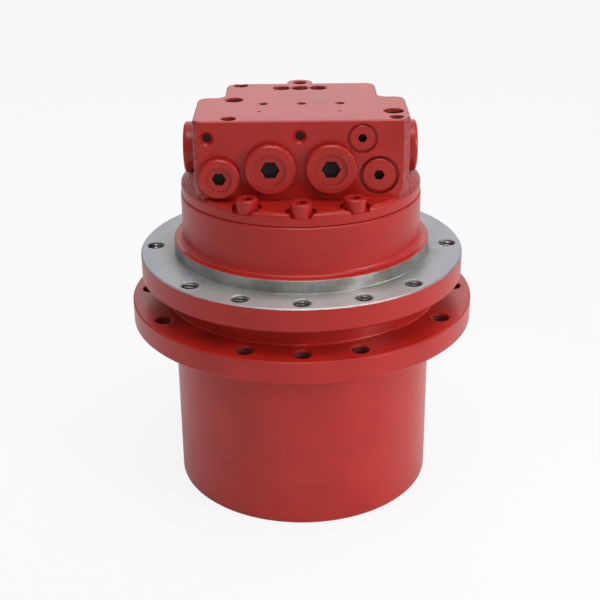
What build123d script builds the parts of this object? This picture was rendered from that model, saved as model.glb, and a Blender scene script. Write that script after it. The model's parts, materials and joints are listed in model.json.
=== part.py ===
"""Track final drive: axial piston motor, two-stage planetary gear and valve block, standing on its cover.

Millimetres, +Z up along the drive axis, origin at the middle of the face that it stands on, ports at the top.
The hub turns round the fixed spindle. The second planets stand on the spindle and drive the hub's ring gear.
"""
from build123d import *
from math import acos, atan2, cos, degrees, pi, radians, sin, sqrt, tan
import os

# Clearances
FIT = 0.05                     # radial gap of a running fit
SLIDE = 0.03                   # radial gap of a spool or piston
SEAT = 0.02                    # gap between faces that rest on each other
AIR = 0.3                      # gap between faces that pass each other

# Gears: one ring serves both stages
MODULE = 2.0
PRESSURE_ANGLE = 25.0
RING_TEETH = 84
SUN_1_TEETH = 12
SUN_2_TEETH = 18
PLANETS = 3
BACKLASH = 0.16                # circular, shared by the two flanks of a mesh
ADDENDUM = 1.0                 # in modules
DEDENDUM = 1.25                # in modules
PLANET_1_TURN = -90.0          # place of the first planet, in degrees from +X
PLANET_2_TURN = 90.0

# Hub and cover
HUB_WALL = 16.0                # outside the ring gear's roots
HUB_FLANGE_OUT = 32.5          # how far the sprocket flange stands out
HUB_FLANGE_THICK = 18.0
HUB_FLANGE_RISE = 29.0         # sprocket seat above the lower main bearing
HUB_BOSS_WALL = 8.5            # outside the seal's housing
HUB_LIP_THICK = 4.3
HUB_FILLET = 1.5
COVER_STEP = 3.5               # the cover's seat outside the ring gear's roots
COVER_RECESS = 5.5
COVER_THICK = 10.0
COVER_RING_WIRE = 3.0
COVER_RING_DEPTH = 2.5         # how deep the ring sits in the hub
COVER_PLUG_INSET = 32.0        # from the cover's edge to the plugs' circle
COVER_PLUG_RADIUS = 8.0
COVER_PLUG_HEAD = 12.0
COVER_PLUG_ANGLES = (0, 120, 240)
SPROCKET_HOLES = (0, 20, 60, 90, 120, 160, 180, 200, 240, 270, 300, 340)
EDGE = 1.0                     # chamfer on turned edges

# Spindle, which is one casting with the frame flange and the motor casing
FRAME_FLANGE_OUT = 26.5        # how far the frame flange stands out from the pilot
FRAME_FLANGE_THICK = 18.5
FLANGE_GAP = 19.0              # between the two flanges
PILOT_STEP = 7.0               # the pilot outside the casing
PILOT_HEIGHT = 10.5
PILOT_FILLET = 0.8
CASING_WALL = 18.5             # outside the brake piston's larger bore
CASING_HEIGHT = 37.0           # above the pilot
CASING_FILLET = 3.0
FRAME_HOLES = (0, 22.5, 45, 90, 135, 157.5, 180, 202.5, 225, 270, 315, 337.5)
FLANGE_HOLE_PLACE = 0.585      # of the way out along a flange
FLANGE_THREAD_RADIUS = 6.5
FLANGE_SINK = 0.8              # countersink's width outside the thread
FLANGE_SINK_DEPTH = 0.45
NOSE_RADIUS = 72.0
NOSE_THICK = 26.0              # wall between the gears and the motor
CAVITY_RADIUS = 62.0

# Main bearings, a pair of angular contact ball bearings
BEARING_BORE_RADIUS = 75.0
BEARING_SECTION = 18.5
BEARING_WIDTH = 20.0
BEARING_BALL = 6.5             # ball radius
BEARING_BALLS = 18
BEARING_RISE = 18.0            # lower face of the pair above the spindle's nose
RACE_GAP = 5.5
NUT_HEIGHT = 10.0
NUT_OUT = 9.0                  # the nut outside the bearing's bore

# Floating face seal
SEAL_STEP = 1.5                # outside the main bearing
SEAL_WIDTH = 10.0
SEAL_RING_HEIGHT = 10.0
SEAL_CORD = 4.35               # radius of the toric ring's section
SKIRT_THICK = 3.0

# First stage
SUN_1_WIDTH = 22.0
PLANET_1_WIDTH = 20.0
CARRIER_THICK = 8.0
PIN_1_RADIUS = 9.0
BUSH_THICK = 3.0
BUSH_FLANGE = 1.5
COVER_TO_SUN = 4.5

# Second stage
STAGE_GAP = 9.2                # from the first carrier to the second planets
PLANET_2_WIDTH = 30.0
PIN_2_RADIUS = 11.0
PIN_2_SEAT = 18.0              # depth in the spindle's nose
PINION_SHAFT_RADIUS = 9.2
PINION_STUB_RADIUS = 8.0
PINION_STUB_LENGTH = 24.0

# Motor
SHAFT_RADIUS = 15.0
JOURNAL_RADIUS = 12.5
FRONT_BEARING_RADIUS = 31.0
FRONT_BEARING_WIDTH = 16.0
ROLLER_SHARE = 0.174           # roller radius over the rollers' circle, the same in both bearings
ROLLERS = 13
OIL_SEAL_RADIUS = 26.0
OIL_SEAL_WIDTH = 7.0
SWASH_ANGLE = 15.0
SWASH_RADIUS = 52.0
SWASH_THICK = 8.0
SWASH_FAST_ANGLE = 8.0
CRADLE_RADIUS = 27.0           # the swash plate's round back, about the centre of the piston balls
CRADLE_INNER = 25.0
CRADLE_OUTER = 45.0
CRADLE_HALF_LENGTH = 15.0
FACE_DROP = 6.0                # from the centre of the piston balls to the running face
CONTROL_PISTON_RADIUS = 7.0
CONTROL_PISTON_Y = -44.0
CONTROL_PISTON_DEPTH = 18.0
PISTONS = 9
PISTON_RADIUS = 8.5
PISTON_PITCH = 32.0
PISTON_LENGTH = 60.0
PISTON_BALL = 6.0
SLIPPER_RADIUS = 10.0
SLIPPER_NECK = 8.0
SLIPPER_BASE = 3.0
RETAINER_THICK = 3.0
RETAINER_RADIUS = 45.0
GUIDE_RADIUS = 19.0
BARREL_RADIUS = 44.0
BARREL_LENGTH = 69.0
BARREL_END = 10.0              # solid end with the port slots
VALVE_PLATE_THICK = 5.0
PORT_SLOT_WIDTH = 8.0
BARREL_SPRING_RADIUS = 22.0

# Parking brake
FRICTION_DISCS = 3
FRICTION_THICK = 3.0
FRICTION_RADIUS = 60.0
SEPARATOR_THICK = 2.5
SEPARATOR_BORE = 48.0
PACK_RADIUS = 67.0             # bore of the discs
PACK_LUG = 3.3
PACK_LUGS = 6
DISC_LUGS = 12
DISC_LUG_WIDTH = 6.0
DISC_LUG_DEPTH = 2.5
BRAKE_BORE_RADIUS = 71.5
BRAKE_STEP = 3.0               # the piston's larger diameter stands out by this
BRAKE_BORE_DEPTH = 52.0        # below the casing's top
BRAKE_LARGE_DEPTH = 18.0
BRAKE_STROKE = 2.0
BRAKE_SPRING_ROOM = 5.5
DISC_SPRING_THICK = 2.0

# Valve block
BLOCK_HALF_WIDTH = 77.5
BLOCK_FRONT = 56.0
BLOCK_BACK = 56.0
BLOCK_STEP_Y = 12.0
BLOCK_STEP_HALF_WIDTH = 57.5
BLOCK_RIGHT_OUT = 2.0          # how much further the block reaches on the right
BLOCK_FRONT_CORNER = 4.5
BLOCK_CORNER = 8.0
BLOCK_BEVEL = 5.0              # bevel of the front right corner, across the front face
BLOCK_BEVEL_BACK = 8.0
BLOCK_OVERHANG = 5.0           # how far the block's corners may reach past its round foot
BLOCK_DISC_STEP = 0.6          # the round foot inside the casing's edge
BLOCK_DISC_THICK = 10.0
BLOCK_SKIRT_HEIGHT = 24.0
BLOCK_SKIRT_OUT = 12.0
BLOCK_SKIRT_BEND = 8.0         # height at which the side skirts turn steep
BLOCK_PAD_RADIUS = 48.0
REAR_BEARING_RADIUS = 23.5
REAR_BEARING_WIDTH = 14.0
SCREW_INSET = 9.0              # from the casing's edge to the screws' circle
SCREW_ANGLES = (0, 27.5, 128, 152.5, 180, 207.5, 232, 332.5)
SCREW_RADIUS = 5.0
SCREW_HEAD_RADIUS = 8.0
SCREW_HEAD_HEIGHT = 10.0
SCREW_SEAT = 6.5               # thickness under the head
SCREW_POCKET = 3.0             # room round the head
SCREW_LENGTH = 24.0

# Valves in the block; heights are above or below the spool's axis
SPOOL_RISE = 23.0              # above the block's round foot
SPOOL_COVER = 35.0             # from the spool's axis to the block's top
SPOOL_RADIUS = 12.0
SPOOL_HALF_LENGTH = 48.0
SPOOL_STROKE = 5.0
SPOOL_BOSS_WALL = 5.0          # cast round the caps' threads
CAP_RADIUS = 19.5
CAP_HEAD = 11.0
CAP_BODY_RADIUS = 16.0
CAP_BODY_LENGTH = 20.0
CHECK_X = 22.0
CHECK_PLUG_RADIUS = 18.5
CHECK_PLUG_HEAD = 7.0
CHECK_BODY_RADIUS = 13.0
CHECK_BODY_LENGTH = 14.0
CHECK_POPPET_RADIUS = 9.0
CHECK_POPPET_LENGTH = 16.0
CHECK_STROKE = 3.0
SPEED_X = -59.0
SPEED_DROP = 6.5
SPEED_PLUG_RADIUS = 14.8
SPEED_PLUG_HEAD = 7.0
SPEED_SPOOL_RADIUS = 7.0
SPEED_SPOOL_LENGTH = 18.0
SPEED_STROKE = 4.0
SPEED_BORE_DEPTH = 38.0
ORIFICE_X = 57.0
ORIFICE_DROP = 6.0
ORIFICE_RADIUS = 12.2
ORIFICE_WELL_RADIUS = 14.6
PILOT_PLUG_X = 44.6
PILOT_PLUG_RISE = 21.6
PILOT_PLUG_RADIUS = 9.4
PILOT_WELL_RADIUS = 11.0
TEST_PLACES = ((-67.5, 22.0), (-0.5, 23.0))
TEST_RADIUS = 2.9
TEST_SINK_RADIUS = 5.3
PLUG_DEPTH = 16.0
HEAD_NECK = 1.0                # undercut behind the head of a plug
HEAD_DISH = 1.6                # hollow in its face
HEAD_RIM = 0.37                # width of the rim round that hollow, over the head's radius
HEX_LARGE = 12.0               # across flats
HEX_MEDIUM = 9.0
HEX_SMALL = 7.0
HEX_TINY = 6.0

# Holes in the block's top: x, y, radius, depth
PORT_RADIUS = 6.4
PORT_PITCH = 14.4
PORT_Y = 41.0
PORT_DEPTHS = (22.0, 26.0, 24.0)
TOP_HOLES = (
    (-51.5, -49.0, 5.3, 18.0),
    (69.5, -48.0, 5.0, 17.0),
    (68.5, -31.0, 7.2, 20.0),
    (-50.0, 5.0, 6.7, 19.0),
    (-46.5, 50.0, 5.3, 16.0),
    (-27.5, -7.5, 3.2, 11.0),
    (1.2, -7.5, 3.2, 13.0),
    (30.0, -7.5, 3.2, 12.0),
    (-30.0, -30.0, 1.3, 5.0),
    (29.0, -30.0, 1.3, 5.0),
)
MOUTH = 0.03                   # countersink of a top hole, over its depth
DRAIN_Y = 58.5
DRAIN_RADIUS = 5.2
DRAIN_BOSS_RADIUS = 10.0
DRAIN_DEPTH = 15.0

# Radii and heights that follow
RING_PITCH = MODULE * RING_TEETH / 2
RING_TIP = RING_PITCH - ADDENDUM * MODULE
RING_ROOT = RING_PITCH + DEDENDUM * MODULE
HUB_RADIUS = RING_ROOT + HUB_WALL
PLANET_1_TEETH = (RING_TEETH - SUN_1_TEETH) // 2
PLANET_2_TEETH = (RING_TEETH - SUN_2_TEETH) // 2
CENTRES_1 = MODULE * (SUN_1_TEETH + PLANET_1_TEETH) / 2
CENTRES_2 = MODULE * (SUN_2_TEETH + PLANET_2_TEETH) / 2

COVER_RADIUS = RING_ROOT + COVER_STEP
COVER_PLUG_CIRCLE = COVER_RADIUS - COVER_PLUG_INSET
COVER_TOP = COVER_RECESS + COVER_THICK
SUN_1_Z = COVER_TOP + COVER_TO_SUN
CARRIER_Z = SUN_1_Z + SUN_1_WIDTH + 1.0
CARRIER_TOP = CARRIER_Z + CARRIER_THICK
PLANET_1_Z = CARRIER_Z - BUSH_FLANGE - AIR - PLANET_1_WIDTH
PLANET_2_Z = CARRIER_TOP + STAGE_GAP
PLANET_2_TOP = PLANET_2_Z + PLANET_2_WIDTH
NOSE_Z = PLANET_2_TOP + BUSH_FLANGE + AIR
FLOOR_Z = NOSE_Z + NOSE_THICK                     # the motor's floor
BEARING_Z = NOSE_Z + BEARING_RISE
HUB_FLANGE_Z = BEARING_Z + HUB_FLANGE_RISE
HUB_FLANGE_RADIUS = HUB_RADIUS + HUB_FLANGE_OUT
SPROCKET_CIRCLE = HUB_RADIUS + FLANGE_HOLE_PLACE * HUB_FLANGE_OUT
HUB_FLANGE_TOP = HUB_FLANGE_Z + HUB_FLANGE_THICK
FRAME_FLANGE_Z = HUB_FLANGE_TOP + FLANGE_GAP
FRAME_FLANGE_TOP = FRAME_FLANGE_Z + FRAME_FLANGE_THICK
PILOT_TOP = FRAME_FLANGE_TOP + PILOT_HEIGHT
CASING_TOP = PILOT_TOP + CASING_HEIGHT
BEARING_OUT_RADIUS = BEARING_BORE_RADIUS + BEARING_SECTION
BEARING_PITCH = BEARING_BORE_RADIUS + BEARING_SECTION / 2
BEARING_TOP = BEARING_Z + 2 * BEARING_WIDTH
NUT_RADIUS = BEARING_BORE_RADIUS + NUT_OUT
SEAL_RADIUS = BEARING_OUT_RADIUS + SEAL_STEP
SEAL_PLANE = BEARING_TOP + 16.0
SEAL_HOUSING = SEAL_RADIUS + 4.0
HUB_BOSS_RADIUS = SEAL_HOUSING + HUB_BOSS_WALL
SEAL_CORD_RADIUS = SEAL_RADIUS - 0.5
SEAL_CORD_OFFSET = 8.5
SEAL_DEPTH = SEAL_CORD_OFFSET + SEAL_CORD + 0.15
HUB_BOSS_TOP = FRAME_FLANGE_Z - 1.5

GUIDE_Z = FLOOR_Z + 1.0 + CRADLE_RADIUS            # tilt axis and centre of the piston balls
SHAFT_LOW = NOSE_Z - 1.0
VALVE_PLATE_Z = CASING_TOP - 10.0
BARREL_TOP = VALVE_PLATE_Z - SEAT
BARREL_Z = BARREL_TOP - BARREL_LENGTH
PAD_Z = VALVE_PLATE_Z + VALVE_PLATE_THICK
BRAKE_FLOOR = CASING_TOP - BRAKE_BORE_DEPTH
BRAKE_LARGE_RADIUS = BRAKE_BORE_RADIUS + BRAKE_STEP
CASING_RADIUS = BRAKE_LARGE_RADIUS + CASING_WALL
PILOT_RADIUS = CASING_RADIUS + PILOT_STEP
FRAME_FLANGE_RADIUS = PILOT_RADIUS + FRAME_FLANGE_OUT
FRAME_CIRCLE = PILOT_RADIUS + FLANGE_HOLE_PLACE * FRAME_FLANGE_OUT
BRAKE_LEDGE = CASING_TOP - BRAKE_LARGE_DEPTH
BRAKE_PITCH = SEPARATOR_THICK + FRICTION_THICK + 2 * SEAT
BRAKE_PISTON_Z = BRAKE_FLOOR + FRICTION_DISCS * BRAKE_PITCH + SEPARATOR_THICK + SEAT
BRAKE_PISTON_TOP = CASING_TOP - BRAKE_SPRING_ROOM
BLOCK_DISC_RADIUS = CASING_RADIUS - BLOCK_DISC_STEP
BLOCK_DISC_TOP = CASING_TOP + BLOCK_DISC_THICK
SCREW_CIRCLE = CASING_RADIUS - SCREW_INSET
SPOOL_Z = BLOCK_DISC_TOP + SPOOL_RISE
BLOCK_TOP = SPOOL_Z + SPOOL_COVER
SPEED_Z = SPOOL_Z - SPEED_DROP
ORIFICE_Z = SPOOL_Z - ORIFICE_DROP
PILOT_PLUG_Z = SPOOL_Z + PILOT_PLUG_RISE


def turned(*points):
    """A solid of revolution about Z from (radius, height) corners."""
    outline = Polyline(*[(r, 0, z) for r, z in points], close=True)
    return revolve(make_face(outline), Axis.Z)


def eased(outline, radius, *corners):
    """An outline for turning with a fillet at some of its (radius, height) corners."""
    chosen = [
        v for v in outline.vertices() if any(abs(v.X - r) + abs(v.Z - z) < 0.01 for r, z in corners)
    ]
    return fillet(chosen, radius)


def ring(outer, inner, bottom, top):
    return turned((inner, bottom), (outer, bottom), (outer, top), (inner, top))


def rod(radius, start, direction, length):
    """A round bar from a start point along a direction."""
    return extrude(Plane(start, z_dir=direction) * Circle(radius), length)


def upright(radius, x, y, bottom, top):
    return rod(radius, (x, y, bottom), (0, 0, 1), top - bottom)


def around(radius, angle):
    """The point at an angle from the front, -Y, on a circle round the drive axis."""
    turn = radians(angle)
    return radius * sin(turn), -radius * cos(turn)


def joined(solids):
    """Separate solids as one shape, without fusing them."""
    return Compound(children=[part.solid() for part in solids])


def hex_socket(across_flats, start, direction, depth):
    """A socket for a hexagon key, with two flats level on an upright face."""
    outline = RegularPolygon(across_flats / sqrt(3), 6, rotation=30)
    return extrude(Plane(start, z_dir=direction) * outline, depth)


def involute(angle):
    return tan(angle) - angle


def gear_face(teeth, tip, root, turn, thicker):
    """A gear's outline with a tooth centred at turn degrees, its flanks moved out by thicker."""
    pitch = MODULE * teeth / 2
    base = pitch * cos(radians(PRESSURE_ANGLE))
    start = max(base, root)
    flank = involute(radians(PRESSURE_ANGLE)) + pi / (2 * teeth) + thicker / pitch

    def half_angle(radius):
        return flank - involute(acos(min(1.0, base / radius)))

    def point(radius, angle):
        return radius * cos(angle), radius * sin(angle)

    edges = []
    step = 2 * pi / teeth
    mid = (start + tip) / 2
    for tooth in range(teeth):
        centre = radians(turn) + tooth * step
        low, middle, high = half_angle(start), half_angle(mid), half_angle(tip)
        if start > root:
            edges.append(Line(point(root, centre - low), point(start, centre - low)))
        edges.append(
            ThreePointArc(
                point(start, centre - low), point(mid, centre - middle), point(tip, centre - high)
            )
        )
        edges.append(
            ThreePointArc(point(tip, centre - high), point(tip, centre), point(tip, centre + high))
        )
        edges.append(
            ThreePointArc(
                point(tip, centre + high), point(mid, centre + middle), point(start, centre + low)
            )
        )
        if start > root:
            edges.append(Line(point(start, centre + low), point(root, centre + low)))
        edges.append(
            ThreePointArc(
                point(root, centre + low),
                point(root, centre + step / 2),
                point(root, centre + step - low),
            )
        )
    return make_face(edges)


def outside_gear(teeth, turn, width, grow=0.0):
    """An external gear standing on the XY plane; grow makes the matching cutter for a splined hole."""
    pitch = MODULE * teeth / 2
    tip = pitch + ADDENDUM * MODULE + grow
    root = pitch - DEDENDUM * MODULE + grow
    return extrude(gear_face(teeth, tip, root, turn, grow - BACKLASH / 4), width)


def planet_angles(first):
    return [first + 360 * k / PLANETS for k in range(PLANETS)]


def stage_angles(stage):
    return planet_angles(PLANET_1_TURN if stage == 1 else PLANET_2_TURN)


def planet_turn(angle, teeth):
    """A planet's own turn that meshes with the ring, whose tooth space lies at angle 0."""
    return angle - angle * RING_TEETH / teeth


def sun_turn(angle, sun_teeth, planet_teeth):
    """The sun's turn that meshes with the planet at an angle."""
    phase = 0.5 - planet_teeth / 2 - angle * RING_TEETH / 360
    return angle - phase * 360 / sun_teeth


def flange_holes(circle, angles, bottom, top):
    """Threaded through holes of a flange, countersunk at both faces."""
    sink = FLANGE_THREAD_RADIUS + FLANGE_SINK
    profile = turned(
        (0, bottom - 1), (sink, bottom - 1), (sink, bottom),
        (FLANGE_THREAD_RADIUS, bottom + FLANGE_SINK_DEPTH),
        (FLANGE_THREAD_RADIUS, top - FLANGE_SINK_DEPTH),
        (sink, top), (sink, top + 1), (0, top + 1),
    )
    return [Pos(*around(circle, angle)) * profile for angle in angles]


def hub():
    """Ring gear, sprocket flange and seal housing in one piece."""
    relief = RING_ROOT + 0.5
    gear_bottom = COVER_TOP + 2
    gear_top = BEARING_Z - 10
    shoulder = BEARING_OUT_RADIUS - 5.5
    lip = HUB_BOSS_RADIUS - HUB_LIP_THICK
    seal_floor = SEAL_PLANE - SEAL_DEPTH
    outline = make_face(Polyline(*[(r, 0, z) for r, z in (
        (COVER_RADIUS, 0), (HUB_RADIUS - EDGE, 0), (HUB_RADIUS, EDGE), (HUB_RADIUS, HUB_FLANGE_Z),
        (HUB_FLANGE_RADIUS - EDGE, HUB_FLANGE_Z), (HUB_FLANGE_RADIUS, HUB_FLANGE_Z + EDGE),
        (HUB_FLANGE_RADIUS, HUB_FLANGE_TOP - EDGE), (HUB_FLANGE_RADIUS - EDGE, HUB_FLANGE_TOP),
        (HUB_BOSS_RADIUS, HUB_FLANGE_TOP), (HUB_BOSS_RADIUS, HUB_BOSS_TOP - EDGE),
        (HUB_BOSS_RADIUS - EDGE, HUB_BOSS_TOP), (lip, HUB_BOSS_TOP), (lip, SEAL_PLANE - 1),
        (SEAL_HOUSING, SEAL_PLANE - 1), (SEAL_HOUSING, seal_floor), (BEARING_OUT_RADIUS, seal_floor),
        (BEARING_OUT_RADIUS, BEARING_Z), (shoulder, BEARING_Z), (shoulder, gear_top),
        (RING_TIP, gear_top), (RING_TIP, gear_bottom), (relief, gear_bottom), (relief, COVER_TOP),
        (COVER_RADIUS, COVER_TOP),
    )], close=True))
    outline = eased(
        outline, HUB_FILLET, (HUB_RADIUS, HUB_FLANGE_Z), (HUB_BOSS_RADIUS, HUB_FLANGE_TOP)
    )
    body = revolve(outline, Axis.Z)
    groove = COVER_RECESS - COVER_RING_WIRE
    body -= ring(COVER_RADIUS + COVER_RING_DEPTH, COVER_RADIUS - 1, groove, COVER_RECESS)
    spaces = gear_face(RING_TEETH, RING_ROOT, RING_TIP - 1, 0, BACKLASH / 4)
    body -= Pos(0, 0, gear_bottom) * extrude(spaces, gear_top - gear_bottom)
    return body - flange_holes(SPROCKET_CIRCLE, SPROCKET_HOLES, HUB_FLANGE_Z, HUB_FLANGE_TOP)


def end_cover():
    """Cover plate with a groove for its seal and three screwed plugs' holes."""
    edge = COVER_RADIUS - FIT
    groove = COVER_RECESS + COVER_THICK / 2
    body = ring(edge, 0.0, COVER_RECESS, COVER_TOP)
    body -= ring(edge + 1, edge - 2.6, groove - 1.8, groove + 1.8)
    body -= upright(12, 0, 0, COVER_TOP - 2, COVER_TOP)
    for angle in COVER_PLUG_ANGLES:
        x, y = around(COVER_PLUG_CIRCLE, angle)
        body -= upright(COVER_PLUG_RADIUS, x, y, COVER_RECESS, COVER_TOP)
        body -= upright(COVER_PLUG_HEAD, x, y, COVER_RECESS, COVER_RECESS + 2.5)
    return body


def cover_plugs():
    made = []
    for angle in COVER_PLUG_ANGLES:
        x, y = around(COVER_PLUG_CIRCLE, angle)
        plug = upright(COVER_PLUG_HEAD - 0.5, x, y, COVER_RECESS + 0.5, COVER_RECESS + 2.5)
        plug += upright(COVER_PLUG_RADIUS - SEAT, x, y, COVER_RECESS + 2.5, COVER_TOP - 0.5)
        plug -= hex_socket(HEX_MEDIUM, (x, y, COVER_RECESS), (0, 0, 1), 6)
        made.append(plug)
    return joined(made)


def cover_ring():
    """Split retaining ring in the hub's groove, below the cover."""
    low = COVER_RECESS - COVER_RING_WIRE + SEAT
    high = COVER_RECESS - SEAT
    body = ring(COVER_RADIUS + COVER_RING_DEPTH - FIT, COVER_RADIUS - 4, low, high)
    return body - Pos(0, COVER_RADIUS, (low + high) / 2) * Box(14, 20, 10)


def cover_seal():
    groove = COVER_RECESS + COVER_THICK / 2
    return revolve(
        Plane.XZ * Pos(COVER_RADIUS - 1.35, groove) * Circle(1.25), Axis.Z
    )


def spindle_casing():
    """Spindle nose, bearing seat, frame flange, pilot and motor casing in one casting."""
    seal_roof = SEAL_PLANE + SEAL_DEPTH
    skirt_bottom = SEAL_PLANE + 2
    seal_neck = SEAL_RADIUS - SEAL_WIDTH - 3
    outline = make_face(Polyline(*[(r, 0, z) for r, z in (
        (OIL_SEAL_RADIUS, NOSE_Z), (NOSE_RADIUS - 1, NOSE_Z), (NOSE_RADIUS, NOSE_Z + 1),
        (NOSE_RADIUS, BEARING_Z), (BEARING_BORE_RADIUS, BEARING_Z), (BEARING_BORE_RADIUS, BEARING_TOP),
        (seal_neck - 2, BEARING_TOP), (seal_neck, BEARING_TOP + 4), (seal_neck, seal_roof),
        (SEAL_HOUSING, seal_roof), (SEAL_HOUSING, skirt_bottom),
        (SEAL_HOUSING + SKIRT_THICK, skirt_bottom), (SEAL_HOUSING + SKIRT_THICK, FRAME_FLANGE_Z),
        (FRAME_FLANGE_RADIUS - EDGE, FRAME_FLANGE_Z), (FRAME_FLANGE_RADIUS, FRAME_FLANGE_Z + EDGE),
        (FRAME_FLANGE_RADIUS, FRAME_FLANGE_TOP - EDGE), (FRAME_FLANGE_RADIUS - EDGE, FRAME_FLANGE_TOP),
        (PILOT_RADIUS, FRAME_FLANGE_TOP), (PILOT_RADIUS, PILOT_TOP - EDGE),
        (PILOT_RADIUS - EDGE, PILOT_TOP), (CASING_RADIUS, PILOT_TOP),
        (CASING_RADIUS, CASING_TOP - EDGE), (CASING_RADIUS - EDGE, CASING_TOP),
        (BRAKE_LARGE_RADIUS, CASING_TOP), (BRAKE_LARGE_RADIUS, BRAKE_LEDGE),
        (BRAKE_BORE_RADIUS, BRAKE_LEDGE), (BRAKE_BORE_RADIUS, BRAKE_PISTON_Z),
        (PACK_RADIUS, BRAKE_PISTON_Z), (PACK_RADIUS, BRAKE_FLOOR), (CAVITY_RADIUS, BRAKE_FLOOR),
        (CAVITY_RADIUS, FLOOR_Z), (FRONT_BEARING_RADIUS, FLOOR_Z),
        (FRONT_BEARING_RADIUS, NOSE_Z + OIL_SEAL_WIDTH + 1), (OIL_SEAL_RADIUS, NOSE_Z + OIL_SEAL_WIDTH + 1),
    )], close=True))
    outline = eased(outline, PILOT_FILLET, (PILOT_RADIUS, FRAME_FLANGE_TOP))
    outline = eased(outline, CASING_FILLET, (CASING_RADIUS, PILOT_TOP))
    body = revolve(outline, Axis.Z)
    body -= flange_holes(FRAME_CIRCLE, FRAME_HOLES, FRAME_FLANGE_Z, FRAME_FLANGE_TOP)
    for angle in SCREW_ANGLES:
        x, y = around(SCREW_CIRCLE, angle)
        body -= upright(SCREW_RADIUS, x, y, CASING_TOP - SCREW_LENGTH + SCREW_SEAT - 2, CASING_TOP)
    for angle in planet_angles(PLANET_2_TURN):
        place = Rot(0, 0, angle) * Pos(CENTRES_2, 0, NOSE_Z)
        body -= place * extrude(Circle(PIN_2_RADIUS + SEAT), PIN_2_SEAT)
    body -= upright(
        CONTROL_PISTON_RADIUS + SLIDE, 0, CONTROL_PISTON_Y, FLOOR_Z - CONTROL_PISTON_DEPTH, FLOOR_Z
    )
    for k in range(PACK_LUGS):
        x, y = around(PACK_RADIUS, 360 * (k + 0.5) / PACK_LUGS)
        body -= upright(PACK_LUG + 0.2, x, y, BRAKE_FLOOR, BRAKE_PISTON_Z)
    return body


def bearing_groove(height):
    return revolve(
        Plane.XZ * Pos(BEARING_PITCH, height) * Circle(BEARING_BALL + 0.1), Axis.Z
    )


def bearing_heights():
    return [BEARING_Z + BEARING_WIDTH * (k + 0.5) for k in range(2)]


def main_bearing_rings(outer):
    """The two races of one side, each with its ball groove."""
    made = []
    for height in bearing_heights():
        low = height - BEARING_WIDTH / 2 + SEAT
        high = height + BEARING_WIDTH / 2 - SEAT
        if outer:
            race = ring(BEARING_OUT_RADIUS - SEAT, BEARING_PITCH + RACE_GAP / 2, low, high)
        else:
            race = ring(BEARING_PITCH - RACE_GAP / 2, BEARING_BORE_RADIUS + SEAT, low, high)
        made.append(race - bearing_groove(height))
    return joined(made)


def main_bearing_balls():
    return joined(
        Rot(0, 0, 360 * k / BEARING_BALLS) * Pos(BEARING_PITCH, 0, height) * Sphere(BEARING_BALL)
        for height in bearing_heights()
        for k in range(BEARING_BALLS)
    )


def main_bearing_cages():
    half = RACE_GAP / 2 - 0.8
    made = []
    for height in bearing_heights():
        cage = ring(BEARING_PITCH + half, BEARING_PITCH - half, height - 8.5, height + 8.5)
        for k in range(BEARING_BALLS):
            outward = (cos(2 * pi * k / BEARING_BALLS), sin(2 * pi * k / BEARING_BALLS), 0)
            cage -= rod(BEARING_BALL + 0.15, (0, 0, height), outward, BEARING_PITCH + 10)
        made.append(cage)
    return joined(made)


def bearing_nut():
    """Slotted ring nut that holds the main bearings on the spindle."""
    body = ring(NUT_RADIUS, NOSE_RADIUS + SEAT, BEARING_Z - NUT_HEIGHT, BEARING_Z)
    for k in range(6):
        body -= Rot(0, 0, 60 * k) * Pos(NUT_RADIUS, 0, BEARING_Z - NUT_HEIGHT) * Box(8, 9, 8)
    return body


def seal_ring(side):
    """One half of the floating seal: side is 1 above the sealing plane, -1 below it."""
    corners = (
        (SEAL_RADIUS - SEAL_WIDTH, SEAT), (SEAL_RADIUS, SEAT), (SEAL_RADIUS, 3), (SEAL_RADIUS - 5, 6),
        (SEAL_RADIUS - 7, SEAL_RING_HEIGHT), (SEAL_RADIUS - SEAL_WIDTH, SEAL_RING_HEIGHT),
    )
    return turned(*[(r, SEAL_PLANE + side * z) for r, z in corners])


def seal_cord(side):
    return revolve(
        Plane.XZ * Pos(SEAL_CORD_RADIUS, SEAL_PLANE + side * SEAL_CORD_OFFSET) * Circle(SEAL_CORD), Axis.Z
    )


def planet_gear(stage, angle):
    """One planet with its bore, in place."""
    teeth, centres, bottom, width, pin = planet_sizes(stage)
    body = outside_gear(teeth, planet_turn(angle, teeth), width)
    body -= extrude(Circle(pin + BUSH_THICK + FIT), width)
    return Pos(*around_x(centres, angle), bottom) * body


def planet_bushes(stage):
    """Flanged bushes on the pins of one stage; the flange takes the planet's thrust."""
    teeth, centres, bottom, width, pin = planet_sizes(stage)
    top = bottom + width + AIR + BUSH_FLANGE - SEAT
    flange = top - BUSH_FLANGE
    outer = pin + BUSH_THICK
    bush = turned(
        (pin + SEAT, bottom), (outer, bottom), (outer, flange), (outer + 3, flange),
        (outer + 3, top), (pin + SEAT, top),
    )
    return joined(Pos(*around_x(centres, angle)) * bush for angle in stage_angles(stage))


def around_x(radius, angle):
    """The point at an angle from +X on a circle round the drive axis."""
    return radius * cos(radians(angle)), radius * sin(radians(angle))


def planet_sizes(stage):
    if stage == 1:
        return PLANET_1_TEETH, CENTRES_1, PLANET_1_Z, PLANET_1_WIDTH, PIN_1_RADIUS
    return PLANET_2_TEETH, CENTRES_2, PLANET_2_Z, PLANET_2_WIDTH, PIN_2_RADIUS


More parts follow.
